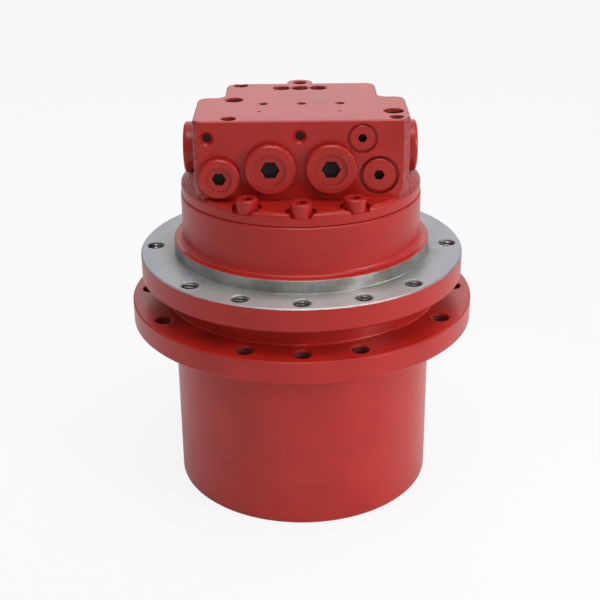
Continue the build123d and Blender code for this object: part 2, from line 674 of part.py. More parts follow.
def sun_pinion():
    """First sun on a long shaft that reaches through the second sun into the motor shaft."""
    turn = sun_turn(PLANET_1_TURN, SUN_1_TEETH, PLANET_1_TEETH)
    body = Pos(0, 0, SUN_1_Z) * outside_gear(SUN_1_TEETH, turn, SUN_1_WIDTH)
    step = SHAFT_LOW - 0.5
    body += upright(PINION_SHAFT_RADIUS, 0, 0, SUN_1_Z + SUN_1_WIDTH, step)
    return body + upright(PINION_STUB_RADIUS, 0, 0, step, step + PINION_STUB_LENGTH)


def second_sun():
    turn = sun_turn(PLANET_2_TURN, SUN_2_TEETH, PLANET_2_TEETH)
    bottom = CARRIER_Z + SEAT
    top = SHAFT_LOW - 1.5
    body = Pos(0, 0, bottom) * outside_gear(SUN_2_TEETH, turn, top - bottom)
    return body - upright(PINION_SHAFT_RADIUS + 1.2, 0, 0, bottom, top)


def first_carrier():
    """Rounded triangular plate, splined inside for the second sun, with bores for the planet pins."""
    lobes = make_hull(
        [
            edge
            for angle in planet_angles(PLANET_1_TURN)
            for edge in (Pos(*around_x(CENTRES_1, angle)) * Circle(PIN_1_RADIUS + 7)).edges()
        ]
    )
    body = Pos(0, 0, CARRIER_Z) * extrude(lobes, CARRIER_THICK)
    turn = sun_turn(PLANET_2_TURN, SUN_2_TEETH, PLANET_2_TEETH)
    body -= Pos(0, 0, CARRIER_Z) * outside_gear(SUN_2_TEETH, turn, CARRIER_THICK, grow=0.15)
    for angle in planet_angles(PLANET_1_TURN):
        x, y = around_x(CENTRES_1, angle)
        body -= upright(PIN_1_RADIUS + SEAT, x, y, CARRIER_Z, CARRIER_TOP)
    return body


def planet_pins(stage):
    """Pins of one stage, with a head that keeps the planet on."""
    teeth, centres, bottom, width, radius = planet_sizes(stage)
    top = CARRIER_TOP if stage == 1 else NOSE_Z + PIN_2_SEAT - 0.5
    made = []
    for angle in stage_angles(stage):
        x, y = around_x(centres, angle)
        pin = upright(radius, x, y, bottom - AIR - 2, top)
        made.append(pin + upright(radius + 3, x, y, bottom - AIR - 2, bottom - AIR))
    return joined(made)


def thrust_pad():
    """Hardened button in the cover that the pinion runs against."""
    return upright(12 - FIT, 0, 0, COVER_TOP - 2 + SEAT, SUN_1_Z - AIR)


def motor_shaft():
    low = SHAFT_LOW
    body = upright(SHAFT_RADIUS, 0, 0, low, BARREL_TOP)
    body += upright(JOURNAL_RADIUS, 0, 0, BARREL_TOP, CASING_TOP + REAR_BEARING_WIDTH + 1)
    return body - upright(PINION_STUB_RADIUS + FIT, 0, 0, low, low + PINION_STUB_LENGTH)


def shaft_bearings(part):
    """Outer rings, inner rings or rollers of the two roller bearings on the motor shaft."""
    front = NOSE_Z + OIL_SEAL_WIDTH + 1 + SEAT
    places = (
        (FRONT_BEARING_RADIUS, SHAFT_RADIUS, front, FRONT_BEARING_WIDTH),
        (REAR_BEARING_RADIUS, JOURNAL_RADIUS, CASING_TOP + SEAT, REAR_BEARING_WIDTH),
    )
    made = []
    for outer, inner, bottom, width in places:
        middle = (outer + inner) / 2
        roller = ROLLER_SHARE * middle
        if part == "outer":
            made.append(ring(outer - SEAT, middle + roller + FIT, bottom, bottom + width))
        elif part == "inner":
            made.append(ring(middle - roller - FIT, inner + SEAT, bottom, bottom + width))
        else:
            for k in range(ROLLERS):
                x, y = around_x(middle, 360 * k / ROLLERS)
                made.append(upright(roller, x, y, bottom + 1, bottom + width - 1))
    return joined(made)


def oil_seal():
    """Lip seal on the motor shaft: a cup with a lip that leans to the shaft."""
    low, high = NOSE_Z, NOSE_Z + OIL_SEAL_WIDTH
    return turned(
        (OIL_SEAL_RADIUS - SEAT, low), (OIL_SEAL_RADIUS - SEAT, high), (OIL_SEAL_RADIUS - 2, high),
        (OIL_SEAL_RADIUS - 2, low + 1.5), (SHAFT_RADIUS + 3, low + 1.5), (SHAFT_RADIUS + 2, high - 1),
        (SHAFT_RADIUS + FIT, high - 2), (SHAFT_RADIUS + 1, low),
    )


def tilted(drop=0.0):
    """Plane parallel to the swash plate's running face, drop below the centre of the piston balls."""
    turn = radians(SWASH_ANGLE)
    normal = Vector(0, -sin(turn), cos(turn))
    return Plane(Vector(0, 0, GUIDE_Z) - normal * drop, x_dir=(1, 0, 0), z_dir=normal)


def swash_plate():
    """Disc with a round back on both sides of the shaft, which rocks in the cradle."""
    low = FACE_DROP + SWASH_THICK
    body = tilted(low) * extrude(Circle(SWASH_RADIUS), SWASH_THICK)
    length = CRADLE_OUTER - CRADLE_INNER - 2
    for side in (-1, 1):
        middle = side * (CRADLE_INNER + CRADLE_OUTER) / 2
        rail = rod(CRADLE_RADIUS - FIT, (middle - length / 2, 0, GUIDE_Z), (1, 0, 0), length)
        body += rail & tilted(low - 1) * Pos(0, 0, -25) * Box(120, 120, 50)
    lean = low * tan(radians(SWASH_ANGLE))
    body -= tilted(low + 1) * extrude(Circle(SHAFT_RADIUS + lean + 1), SWASH_THICK + 2)
    return body - Pos(0, 0, GUIDE_Z) * Sphere(GUIDE_RADIUS + 1)


def cradle_seats():
    """Bearing blocks on the casing's floor, hollow for the swash plate's round back."""
    made = []
    for side in (-1, 1):
        middle = side * (CRADLE_INNER + CRADLE_OUTER) / 2
        block = Pos(middle, 0, FLOOR_Z + 5 + SEAT) * Box(
            CRADLE_OUTER - CRADLE_INNER, 2 * CRADLE_HALF_LENGTH, 10
        )
        made.append(block - rod(CRADLE_RADIUS, (middle - 30, 0, GUIDE_Z), (1, 0, 0), 60))
    return joined(made)


def control_piston():
    """Round-ended piston that tips the swash plate to its fast angle."""
    turn = radians(SWASH_ANGLE)
    reach = FACE_DROP + SWASH_THICK + CONTROL_PISTON_RADIUS + FIT
    tip = GUIDE_Z + (CONTROL_PISTON_Y * sin(turn) - reach) / cos(turn)
    body = upright(CONTROL_PISTON_RADIUS, 0, CONTROL_PISTON_Y, FLOOR_Z - CONTROL_PISTON_DEPTH + 1, tip)
    return body + Pos(0, CONTROL_PISTON_Y, tip) * Sphere(CONTROL_PISTON_RADIUS)


def piston_angles():
    return [360 * k / PISTONS for k in range(PISTONS)]


def ball_place(angle):
    """Centre of a piston's ball: on its bore's axis and on the tilted plane."""
    x, y = around_x(PISTON_PITCH, angle)
    return x, y, GUIDE_Z + y * tan(radians(SWASH_ANGLE))


def pistons():
    made = []
    for angle in piston_angles():
        x, y, z = ball_place(angle)
        body = Pos(x, y, z) * Sphere(PISTON_BALL)
        body += upright(PISTON_BALL - 2, x, y, z, z + 9)
        made.append(body + upright(PISTON_RADIUS, x, y, z + 9, z + PISTON_LENGTH))
    return joined(made)


def on_swash(angle):
    """A plane parallel to the running face, at a piston's ball."""
    return Plane(ball_place(angle), x_dir=(1, 0, 0), z_dir=tilted().z_dir)


def slippers():
    """Shoes that slide on the swash plate, each closed round a piston's ball."""
    face = SEAT - FACE_DROP
    made = []
    for angle in piston_angles():
        shoe = Pos(0, 0, face) * extrude(Circle(SLIPPER_RADIUS), SLIPPER_BASE)
        shoe += Pos(0, 0, face) * extrude(Circle(SLIPPER_NECK), 3 - face)
        shoe -= Sphere(PISTON_BALL + FIT)
        shoe -= Pos(0, 0, face) * extrude(Circle(SLIPPER_RADIUS - 4), 0.6)
        made.append(on_swash(angle) * shoe)
    return joined(made)


def retainer_plate():
    """Plate that holds the slippers down, seated on the ball guide."""
    body = tilted(FACE_DROP - SLIPPER_BASE - 0.2) * extrude(Circle(RETAINER_RADIUS), RETAINER_THICK)
    body -= Pos(0, 0, GUIDE_Z) * Sphere(GUIDE_RADIUS + 0.6)
    for angle in piston_angles():
        body -= on_swash(angle) * Cylinder(SLIPPER_NECK + 0.3, 20)
    return body


def ball_guide():
    body = Pos(0, 0, GUIDE_Z) * Sphere(GUIDE_RADIUS)
    body &= upright(GUIDE_RADIUS + 1, 0, 0, GUIDE_Z - 7, BARREL_Z - 2)
    return body - upright(SHAFT_RADIUS + SEAT, 0, 0, GUIDE_Z - 10, BARREL_Z)


def port_slot(centre, radius, sweep, width, bottom, depth):
    """A curved slot of constant width on a circle round the drive axis."""
    arc = CenterArc((0, 0), radius, centre - sweep / 2, sweep)
    return Pos(0, 0, bottom) * extrude(SlotArc(arc, width), depth)


def cylinder_barrel():
    body = upright(BARREL_RADIUS, 0, 0, BARREL_Z, BARREL_TOP)
    body -= upright(SHAFT_RADIUS + SEAT, 0, 0, BARREL_Z, BARREL_TOP)
    body -= ring(BARREL_SPRING_RADIUS, SHAFT_RADIUS - 1, BARREL_Z + 6, BARREL_TOP - 16)
    for angle in piston_angles():
        x, y = around_x(PISTON_PITCH, angle)
        body -= upright(PISTON_RADIUS + SLIDE, x, y, BARREL_Z, BARREL_TOP - BARREL_END)
        body -= port_slot(angle, PISTON_PITCH, 15, PORT_SLOT_WIDTH, BARREL_TOP - BARREL_END, BARREL_END)
    return body - barrel_lugs(DISC_LUG_WIDTH, DISC_LUG_DEPTH, BRAKE_FLOOR - 3, BARREL_TOP)


def coil(radius, wire, bottom, top, turns, side=4, per_turn=12):
    """A spring of square wire in short straight lengths, closed at both ends, along Z."""
    steps = turns * per_turn
    half = wire / 2

    def section(k):
        turn = 2 * pi * k / per_turn
        z = bottom + half + (top - bottom - wire) * k / steps
        corners = ((-half, -half), (half, -half), (half, half), (-half, half))
        return [
            Vector((radius + out) * cos(turn), (radius + out) * sin(turn), z + up) for out, up in corners
        ]

    sections = [section(k) for k in range(steps + 1)]

    def triangle(*points):
        return Face(Wire.make_polygon(points, close=True))

    faces = []
    for a, b in zip(sections, sections[1:]):
        for i in range(side):
            j = (i + 1) % side
            faces.append(triangle(a[i], a[j], b[j]))
            faces.append(triangle(a[i], b[j], b[i]))
    for end in (sections[0], sections[-1]):
        faces.append(triangle(end[0], end[1], end[2]))
        faces.append(triangle(end[0], end[2], end[3]))
    return Solid(Shell(faces))


def barrel_spring():
    low, high = BARREL_Z + 6 + SEAT, BARREL_TOP - 16 - SEAT
    return coil((SHAFT_RADIUS + BARREL_SPRING_RADIUS) / 2, 3.2, low, high, 5)


def valve_plate():
    body = upright(BARREL_RADIUS, 0, 0, VALVE_PLATE_Z, PAD_Z - SEAT)
    body -= upright(JOURNAL_RADIUS + 3, 0, 0, VALVE_PLATE_Z, PAD_Z)
    for centre in (0, 180):
        body -= port_slot(centre, PISTON_PITCH, 120, PORT_SLOT_WIDTH, VALVE_PLATE_Z, VALVE_PLATE_THICK)
    return body


def barrel_lugs(width, depth, bottom, top):
    """Bars round the barrel, which key the friction discs to it."""
    middle = BARREL_RADIUS - depth / 2
    lug = Pos(middle, 0, (bottom + top) / 2) * Box(depth + 1, width, top - bottom)
    return [Rot(0, 0, 360 * k / DISC_LUGS) * lug for k in range(DISC_LUGS)]


def friction_discs():
    made = []
    for k in range(FRICTION_DISCS):
        low = BRAKE_FLOOR + SEPARATOR_THICK + 2 * SEAT + k * BRAKE_PITCH
        high = low + FRICTION_THICK - SEAT
        disc = ring(FRICTION_RADIUS, BARREL_RADIUS + FIT, low, high)
        made.append(disc + barrel_lugs(DISC_LUG_WIDTH - 0.4, DISC_LUG_DEPTH - 0.4, low, high))
    return joined(made)


def separator_plates():
    """Steel plates between the friction discs, with round lugs in the casing's grooves."""
    made = []
    for k in range(FRICTION_DISCS + 1):
        low = BRAKE_FLOOR + SEAT + k * BRAKE_PITCH
        high = low + SEPARATOR_THICK - SEAT
        plate = upright(PACK_RADIUS - 0.2, 0, 0, low, high)
        for lug in range(PACK_LUGS):
            plate += upright(PACK_LUG, *around(PACK_RADIUS, 360 * (lug + 0.5) / PACK_LUGS), low, high)
        made.append(plate - upright(SEPARATOR_BORE, 0, 0, low, high))
    return joined(made)


def brake_piston():
    """Stepped ring piston, pushed down by the disc spring and up by oil at its step."""
    inner = BLOCK_PAD_RADIUS + 1
    return turned(
        (inner, BRAKE_PISTON_Z), (BRAKE_BORE_RADIUS - SLIDE, BRAKE_PISTON_Z),
        (BRAKE_BORE_RADIUS - SLIDE, BRAKE_LEDGE + 2), (BRAKE_LARGE_RADIUS - SLIDE, BRAKE_LEDGE + 2),
        (BRAKE_LARGE_RADIUS - SLIDE, BRAKE_PISTON_TOP), (inner, BRAKE_PISTON_TOP),
    )


def disc_spring():
    """Coned washer between the brake piston and the valve block."""
    inner, outer = BLOCK_PAD_RADIUS + 4, BRAKE_LARGE_RADIUS - 2
    low, high = BRAKE_PISTON_TOP + SEAT, CASING_TOP - SEAT
    return turned(
        (outer, low), (outer, low + DISC_SPRING_THICK), (inner, high), (inner, high - DISC_SPRING_THICK)
    )


def block_outline():
    """The block seen from above: wide at the front, with a step to a narrower back."""
    wide, narrow = BLOCK_HALF_WIDTH, BLOCK_STEP_HALF_WIDTH
    front, step, back = -BLOCK_FRONT, BLOCK_STEP_Y, BLOCK_BACK
    right, narrow_right = wide + BLOCK_RIGHT_OUT, narrow + BLOCK_RIGHT_OUT
    shape = make_face(Polyline(
        (-wide, front), (right - BLOCK_BEVEL, front), (right, front + BLOCK_BEVEL_BACK),
        (right, step), (narrow_right, step), (narrow_right, back),
        (-narrow, back), (-narrow, step), (-wide, step), close=True,
    ))
    shape = fillet(shape.vertices().sort_by(Axis.X).sort_by(Axis.Y)[:1], BLOCK_FRONT_CORNER)
    return fillet(shape.vertices().filter_by(lambda v: v.Y > step - 1), BLOCK_CORNER)


def cast_flare(reach, half_length):
    """The cast fillet where a side wall of the block, at a reach along X, runs out to the round foot."""
    low, high = BLOCK_DISC_TOP - 4, BLOCK_DISC_TOP - 4 + BLOCK_SKIRT_HEIGHT
    out, third = reach + BLOCK_SKIRT_OUT, BLOCK_SKIRT_OUT / 3
    foot, top, inner = (out, -half_length, low), (reach, -half_length, high), (reach - 2, -half_length, low)
    bend = (reach + third, -half_length, low + BLOCK_SKIRT_HEIGHT / 3)
    face = make_face([Line(inner, foot), ThreePointArc(foot, bend, top), Line(top, inner)])
    return extrude(face, 2 * half_length, dir=(0, 1, 0))


def cast_skirt():
    """The rough foot of the block's side walls, which spreads to the edge of the round foot."""
    low, high = BLOCK_DISC_TOP - 4, BLOCK_DISC_TOP + BLOCK_SKIRT_HEIGHT
    edge, bend = BLOCK_DISC_RADIUS - 1.5, BLOCK_DISC_TOP + BLOCK_SKIRT_BEND
    cone = turned(
        (0, low), (edge, low), (edge, BLOCK_DISC_TOP), (edge - BLOCK_SKIRT_BEND, bend),
        (BLOCK_HALF_WIDTH - 1, high), (0, high),
    )
    length = BLOCK_FRONT + BLOCK_STEP_Y + BLOCK_CORNER
    return cone & Pos(0, length / 2 - BLOCK_FRONT, low) * Box(2 * edge, length, 4 * BLOCK_SKIRT_HEIGHT)


def block_casting():
    """The block's walls above its round foot, with the corners turned back to the foot's edge."""
    body = Pos(0, 0, CASING_TOP + 2) * extrude(block_outline(), BLOCK_TOP - CASING_TOP - 2)
    body = chamfer(body.faces().sort_by(Axis.Z)[-1].edges(), EDGE)
    boss = CAP_BODY_RADIUS + SPOOL_BOSS_WALL
    body += rod(boss, (-BLOCK_HALF_WIDTH, 0, SPOOL_Z), (1, 0, 0), 2 * BLOCK_HALF_WIDTH)
    body += cast_skirt()
    body += Rot(0, 0, 90) * cast_flare(BLOCK_BACK, BLOCK_STEP_HALF_WIDTH - BLOCK_CORNER)
    foot = BLOCK_DISC_RADIUS - 1.5
    turned_back = turned(
        (0, CASING_TOP), (foot, CASING_TOP), (foot, BLOCK_DISC_TOP),
        (BLOCK_DISC_RADIUS + BLOCK_OVERHANG, BLOCK_DISC_TOP + BLOCK_SKIRT_HEIGHT),
        (BLOCK_DISC_RADIUS + BLOCK_OVERHANG, BLOCK_TOP + 1), (0, BLOCK_TOP + 1),
    )
    return body & turned_back


def front_rod(radius, x, z, depth, start=0.0):
    """A bore or bar that runs back from the block's front face."""
    return rod(radius, (x, -BLOCK_FRONT + start, z), (0, 1, 0), depth)


def valve_block():
    """Cast block with the ports on top, the valve bores in front and the spool across it."""
    body = upright(BLOCK_DISC_RADIUS, 0, 0, CASING_TOP, BLOCK_DISC_TOP)
    body = chamfer(body.edges().sort_by(Axis.Z)[0], EDGE)
    body = fillet(body.edges().sort_by(Axis.Z)[-1], 3.0)
    body += block_casting()
    body += upright(DRAIN_BOSS_RADIUS, 0, DRAIN_Y, BLOCK_DISC_TOP - 4, BLOCK_TOP)
    front_cut = Pos(0, -BLOCK_FRONT - 50, BLOCK_DISC_TOP - 0.4 + 50) * Box(300, 100, 100)
    body -= front_cut
    body += upright(BLOCK_PAD_RADIUS, 0, 0, PAD_Z, CASING_TOP + 1)
    body -= upright(REAR_BEARING_RADIUS, 0, 0, PAD_Z, CASING_TOP + REAR_BEARING_WIDTH + 2)
    for centre in (0, 180):
        body -= port_slot(centre, PISTON_PITCH, 110, PORT_SLOT_WIDTH, PAD_Z, 12)
    for angle in SCREW_ANGLES:
        x, y = around(SCREW_CIRCLE, angle)
        body -= upright(SCREW_RADIUS + 0.5, x, y, CASING_TOP, BLOCK_DISC_TOP)
        pocket = SCREW_HEAD_RADIUS + SCREW_POCKET
        body -= upright(pocket, x, y, CASING_TOP + SCREW_SEAT, BLOCK_DISC_TOP + BLOCK_SKIRT_HEIGHT)
    body -= valve_bores()
    return body - top_holes()


def valve_bores():
    """Everything that is drilled from the front and the sides."""
    half = BLOCK_HALF_WIDTH
    cuts = [rod(SPOOL_RADIUS + SLIDE, (-half, 0, SPOOL_Z), (1, 0, 0), 2 * half)]
    for side in (-1, 1):
        cuts.append(rod(CAP_BODY_RADIUS, (side * half, 0, SPOOL_Z), (-side, 0, 0), CAP_BODY_LENGTH + 1))
        cuts.append(rod(CAP_RADIUS + 1, (side * half, 0, SPOOL_Z), (side, 0, 0), 30))
    for x in (-CHECK_X, CHECK_X):
        cuts.append(front_rod(CHECK_BODY_RADIUS, x, SPOOL_Z, CHECK_BODY_LENGTH + 1))
        cuts.append(front_rod(CHECK_POPPET_RADIUS + SLIDE, x, SPOOL_Z, BLOCK_FRONT - SPOOL_RADIUS - 5))
        cuts.append(front_rod(5, x, SPOOL_Z, BLOCK_FRONT))
        cuts.append(front_rod(CHECK_PLUG_RADIUS + 1.2, x, SPOOL_Z, 20, start=-20))
    cuts.append(front_rod(SPEED_PLUG_RADIUS - 4, SPEED_X, SPEED_Z, 10))
    cuts.append(front_rod(SPEED_SPOOL_RADIUS + SLIDE, SPEED_X, SPEED_Z, SPEED_BORE_DEPTH))
    cuts.append(front_rod(SPEED_PLUG_RADIUS + 1.0, SPEED_X, SPEED_Z, 20, start=-20))
    cuts.append(front_rod(ORIFICE_WELL_RADIUS, ORIFICE_X, ORIFICE_Z, 3.5))
    cuts.append(front_rod(ORIFICE_RADIUS - 3, ORIFICE_X, ORIFICE_Z, PLUG_DEPTH))
    cuts.append(front_rod(PILOT_WELL_RADIUS, PILOT_PLUG_X, PILOT_PLUG_Z, 2.0))
    cuts.append(front_rod(PILOT_PLUG_RADIUS - 2.5, PILOT_PLUG_X, PILOT_PLUG_Z, PLUG_DEPTH))
    for x, rise in TEST_PLACES:
        cuts.append(front_rod(TEST_RADIUS, x, SPOOL_Z + rise, PLUG_DEPTH))
        sink = Plane((x, -BLOCK_FRONT, SPOOL_Z + rise), z_dir=(0, 1, 0)) * Pos(0, 0, 1.5)
        cuts.append(sink * Cone(TEST_SINK_RADIUS, TEST_RADIUS, 3))
    return cuts


def top_hole(x, y, radius, depth):
    """A blind hole in the block's top face with a countersunk mouth."""
    floor, mouth = BLOCK_TOP - depth, MOUTH * depth
    return Pos(x, y) * turned(
        (0, floor), (radius, floor), (radius, BLOCK_TOP - mouth), (radius + mouth, BLOCK_TOP),
        (radius + mouth, BLOCK_TOP + 1), (0, BLOCK_TOP + 1),
    )


def top_holes():
    """Ports and tapped holes in the block's top face."""
    places = [(PORT_PITCH * (k - 1), PORT_Y, PORT_RADIUS, PORT_DEPTHS[k]) for k in range(3)]
    places += [(0, DRAIN_Y, DRAIN_RADIUS, DRAIN_DEPTH), *TOP_HOLES]
    return [top_hole(*place) for place in places]


def block_screws():
    """Socket head screws that hold the block on the casing."""
    seat = CASING_TOP + SCREW_SEAT
    made = []
    for angle in SCREW_ANGLES:
        x, y = around(SCREW_CIRCLE, angle)
        head = upright(SCREW_HEAD_RADIUS, x, y, seat, seat + SCREW_HEAD_HEIGHT)
        head = chamfer(head.edges().sort_by(Axis.Z)[-1], 0.8)
        screw = head + upright(SCREW_RADIUS - SEAT, x, y, seat - SCREW_LENGTH, seat)
        screw -= hex_socket(HEX_SMALL + 1, (x, y, seat + SCREW_HEAD_HEIGHT), (0, 0, -1), 5)
        made.append(screw)
    return joined(made)


def headed_plug(x, z, head_radius, head, body_radius, body_length, across, dish):
    """A screw plug in the front face: head with a raised rim, hexagon socket and threaded body."""
    front = -BLOCK_FRONT - head
    plug = rod(head_radius, (x, front, z), (0, 1, 0), head - SEAT)
    plug = chamfer(plug.edges().sort_by(Axis.Y)[0], 1.0)
    plug -= rod(head_radius * (1 - HEAD_RIM), (x, front, z), (0, 1, 0), dish)
    neck = rod(head_radius + 1, (x, -BLOCK_FRONT - HEAD_NECK, z), (0, 1, 0), HEAD_NECK)
    plug -= neck - rod(head_radius - HEAD_NECK, (x, -BLOCK_FRONT - HEAD_NECK, z), (0, 1, 0), HEAD_NECK)
    plug += rod(body_radius - SEAT, (x, front + dish + 1, z), (0, 1, 0), head - dish - 1 + body_length)
    return plug - hex_socket(across, (x, front, z), (0, 1, 0), 7)


def headed_plugs():
    """Two large plugs over the check valves and a smaller one over the speed spool."""
    made = [
        headed_plug(
            x, SPOOL_Z, CHECK_PLUG_RADIUS, CHECK_PLUG_HEAD,
            CHECK_BODY_RADIUS, CHECK_BODY_LENGTH, HEX_LARGE, HEAD_DISH,
        )
        for x in (-CHECK_X, CHECK_X)
    ]
    made.append(headed_plug(
        SPEED_X, SPEED_Z, SPEED_PLUG_RADIUS, SPEED_PLUG_HEAD,
        SPEED_PLUG_RADIUS - 4, 10 - SEAT, HEX_MEDIUM, HEAD_DISH,
    ))
    return joined(made)


def sunk_plug(x, z, radius, seat, body_radius, across):
    """A plug whose flat head sits in a well of the front face."""
    plug = front_rod(radius, x, z, seat - SEAT)
    plug = chamfer(plug.edges().sort_by(Axis.Y)[0], 0.6)
    plug += front_rod(body_radius - SEAT, x, z, PLUG_DEPTH - 1)
    return plug - hex_socket(across, (x, -BLOCK_FRONT, z), (0, 1, 0), 6)


def sunk_plugs():
    """Plugs that do not stand out: two with flat heads and two small test plugs."""
    made = [
        sunk_plug(ORIFICE_X, ORIFICE_Z, ORIFICE_RADIUS, 3.5, ORIFICE_RADIUS - 3, HEX_SMALL),
        sunk_plug(PILOT_PLUG_X, PILOT_PLUG_Z, PILOT_PLUG_RADIUS, 2.0, PILOT_PLUG_RADIUS - 2.5, HEX_TINY),
    ]
    for x, rise in TEST_PLACES:
        plug = front_rod(TEST_RADIUS - SEAT, x, SPOOL_Z + rise, 8, start=4)
        made.append(plug - hex_socket(3, (x, -BLOCK_FRONT + 4, SPOOL_Z + rise), (0, 1, 0), 4))
    return joined(made)


def spool_caps():
    """Screwed caps at the ends of the spool bore, hollow for the springs."""
    made = []
    for side in (-1, 1):
        face = side * BLOCK_HALF_WIDTH
        cap = rod(CAP_RADIUS, (face + side * SEAT, 0, SPOOL_Z), (side, 0, 0), CAP_HEAD - SEAT)
        outer = cap.edges().filter_by(GeomType.CIRCLE).sort_by(Axis.X)[-1 if side > 0 else 0]
        cap = fillet(outer, 2.5)
        cap += rod(CAP_BODY_RADIUS - SEAT, (face + side, 0, SPOOL_Z), (-side, 0, 0), CAP_BODY_LENGTH + 1)
        hollow = (face - side * CAP_BODY_LENGTH, 0, SPOOL_Z)
        cap -= rod(SPOOL_RADIUS - 1, hollow, (side, 0, 0), CAP_BODY_LENGTH + 3)
        cap -= hex_socket(HEX_LARGE, (face + side * CAP_HEAD, 0, SPOOL_Z), (-side, 0, 0), 6)
        made.append(cap)
    return joined(made)


def counterbalance_spool():
    """Spool with lands and waists, and a hollow for a spring at each end."""
    spool = rod(SPOOL_RADIUS, (-SPOOL_HALF_LENGTH, 0, SPOOL_Z), (1, 0, 0), 2 * SPOOL_HALF_LENGTH)
    for middle in (-30, 0, 30):
        waist = rod(SPOOL_RADIUS + 1, (middle - 5, 0, SPOOL_Z), (1, 0, 0), 10)
        spool -= waist - rod(SPOOL_RADIUS - 4, (middle - 5, 0, SPOOL_Z), (1, 0, 0), 10)
    return spool


def spool_springs():
    """Centring springs between the spool's ends and the caps."""
    gap = BLOCK_HALF_WIDTH + 3 - SPOOL_HALF_LENGTH
    lying = Pos(SPOOL_HALF_LENGTH, 0, SPOOL_Z) * Rot(0, 90, 0)
    spring = lying * coil(8.5, 2.4, SEAT, gap - SEAT, 6)
    return joined((spring, Rot(0, 0, 180) * spring))


def check_poppet(x):
    """Cup-shaped check valve: a cone on its seat and a hollow for its spring."""
    seat_y = -SPOOL_RADIUS - 5
    start = seat_y - CHECK_POPPET_LENGTH
    body = rod(CHECK_POPPET_RADIUS, (x, start, SPOOL_Z), (0, 1, 0), CHECK_POPPET_LENGTH - 3)
    nose = Plane((x, seat_y - 3, SPOOL_Z), z_dir=(0, 1, 0)) * Pos(0, 0, 1.4)
    body += nose * Cone(CHECK_POPPET_RADIUS, 6.0, 2.8)
    return body - rod(6.5, (x, start, SPOOL_Z), (0, 1, 0), 9)


def speed_spool():
    start = -BLOCK_FRONT + 10 + SEAT
    spool = rod(SPEED_SPOOL_RADIUS, (SPEED_X, start, SPEED_Z), (0, 1, 0), SPEED_SPOOL_LENGTH)
    middle = start + SPEED_SPOOL_LENGTH / 2
    waist = rod(SPEED_SPOOL_RADIUS + 1, (SPEED_X, middle - 3, SPEED_Z), (0, 1, 0), 6)
    return spool - (waist - rod(SPEED_SPOOL_RADIUS - 2.5, (SPEED_X, middle - 3, SPEED_Z), (0, 1, 0), 6))


def valve_springs():
    """Springs of the two check valves and of the speed spool, all along Y."""
    lying = Rot(-90, 0, 0)
    start = -BLOCK_FRONT + CHECK_BODY_LENGTH
    end = -SPOOL_RADIUS - 5 - CHECK_POPPET_LENGTH + 9
    check = lying * coil(5.0, 1.6, SEAT, end - start - SEAT, 5)
    made = [Pos(x, start, SPOOL_Z) * check for x in (-CHECK_X, CHECK_X)]
    start = -BLOCK_FRONT + 10 + SPEED_SPOOL_LENGTH
    speed = lying * coil(5.2, 1.6, 2 * SEAT, SPEED_BORE_DEPTH - SPEED_SPOOL_LENGTH - 10 - SEAT, 4)
    made.append(Pos(SPEED_X, start, SPEED_Z) * speed)
    return joined(made)


def model():
    """Every piece, by the name of its node."""
    parts = {
        "hub": hub(),
        "end_cover": end_cover(),
        "cover_plugs": cover_plugs(),
        "cover_ring": cover_ring(),
        "cover_seal": cover_seal(),
        "thrust_pad": thrust_pad(),
        "spindle_casing": spindle_casing(),
        "main_bearing_outer_rings": main_bearing_rings(True),
        "main_bearing_inner_rings": main_bearing_rings(False),
        "main_bearing_balls": main_bearing_balls(),
        "main_bearing_cages": main_bearing_cages(),
        "bearing_nut": bearing_nut(),
        "hub_seal_ring": seal_ring(-1),
        "hub_seal_cord": seal_cord(-1),
        "spindle_seal_ring": seal_ring(1),
        "spindle_seal_cord": seal_cord(1),
        "sun_pinion": sun_pinion(),
        "second_sun": second_sun(),
        "first_carrier": first_carrier(),
        "first_planet_pins": planet_pins(1),
        "first_planet_bushes": planet_bushes(1),
        "second_planet_pins": planet_pins(2),
        "second_planet_bushes": planet_bushes(2),
        "motor_shaft": motor_shaft(),
        "oil_seal": oil_seal(),
        "shaft_bearing_outer_rings": shaft_bearings("outer"),
        "shaft_bearing_inner_rings": shaft_bearings("inner"),
        "shaft_bearing_rollers": shaft_bearings("rollers"),
        "swash_plate": swash_plate(),
        "cradle_seats": cradle_seats(),
        "control_piston": control_piston(),
        "pistons": pistons(),
        "slippers": slippers(),
        "retainer_plate": retainer_plate(),
        "ball_guide": ball_guide(),
        "cylinder_barrel": cylinder_barrel(),
        "barrel_spring": barrel_spring(),
        "valve_plate": valve_plate(),
        "friction_discs": friction_discs(),
        "separator_plates": separator_plates(),
        "brake_piston": brake_piston(),
        "disc_spring": disc_spring(),
        "valve_block": valve_block(),
        "block_screws": block_screws(),
        "headed_plugs": headed_plugs(),
        "sunk_plugs": sunk_plugs(),
        "spool_caps": spool_caps(),
        "counterbalance_spool": counterbalance_spool(),
        "spool_springs": spool_springs(),
        "left_check_poppet": check_poppet(-CHECK_X),
        "right_check_poppet": check_poppet(CHECK_X),
        "speed_spool": speed_spool(),
        "valve_springs": valve_springs(),
    }
    for stage, word in ((1, "first"), (2, "second")):
        for k, angle in enumerate(stage_angles(stage)):
            parts[f"{word}_planet_{k + 1}"] = planet_gear(stage, angle)
    return parts


def main():
    os.makedirs("parts", exist_ok=True)
    for name, part in model().items():
        export_step(part, f"parts/{name}.step")


main()
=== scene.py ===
"""Looks of the track final drive: red paint on machined and cast iron, a bare ring, a white studio."""
import json
import math
import random

import bpy
from mathutils import Matrix, Vector


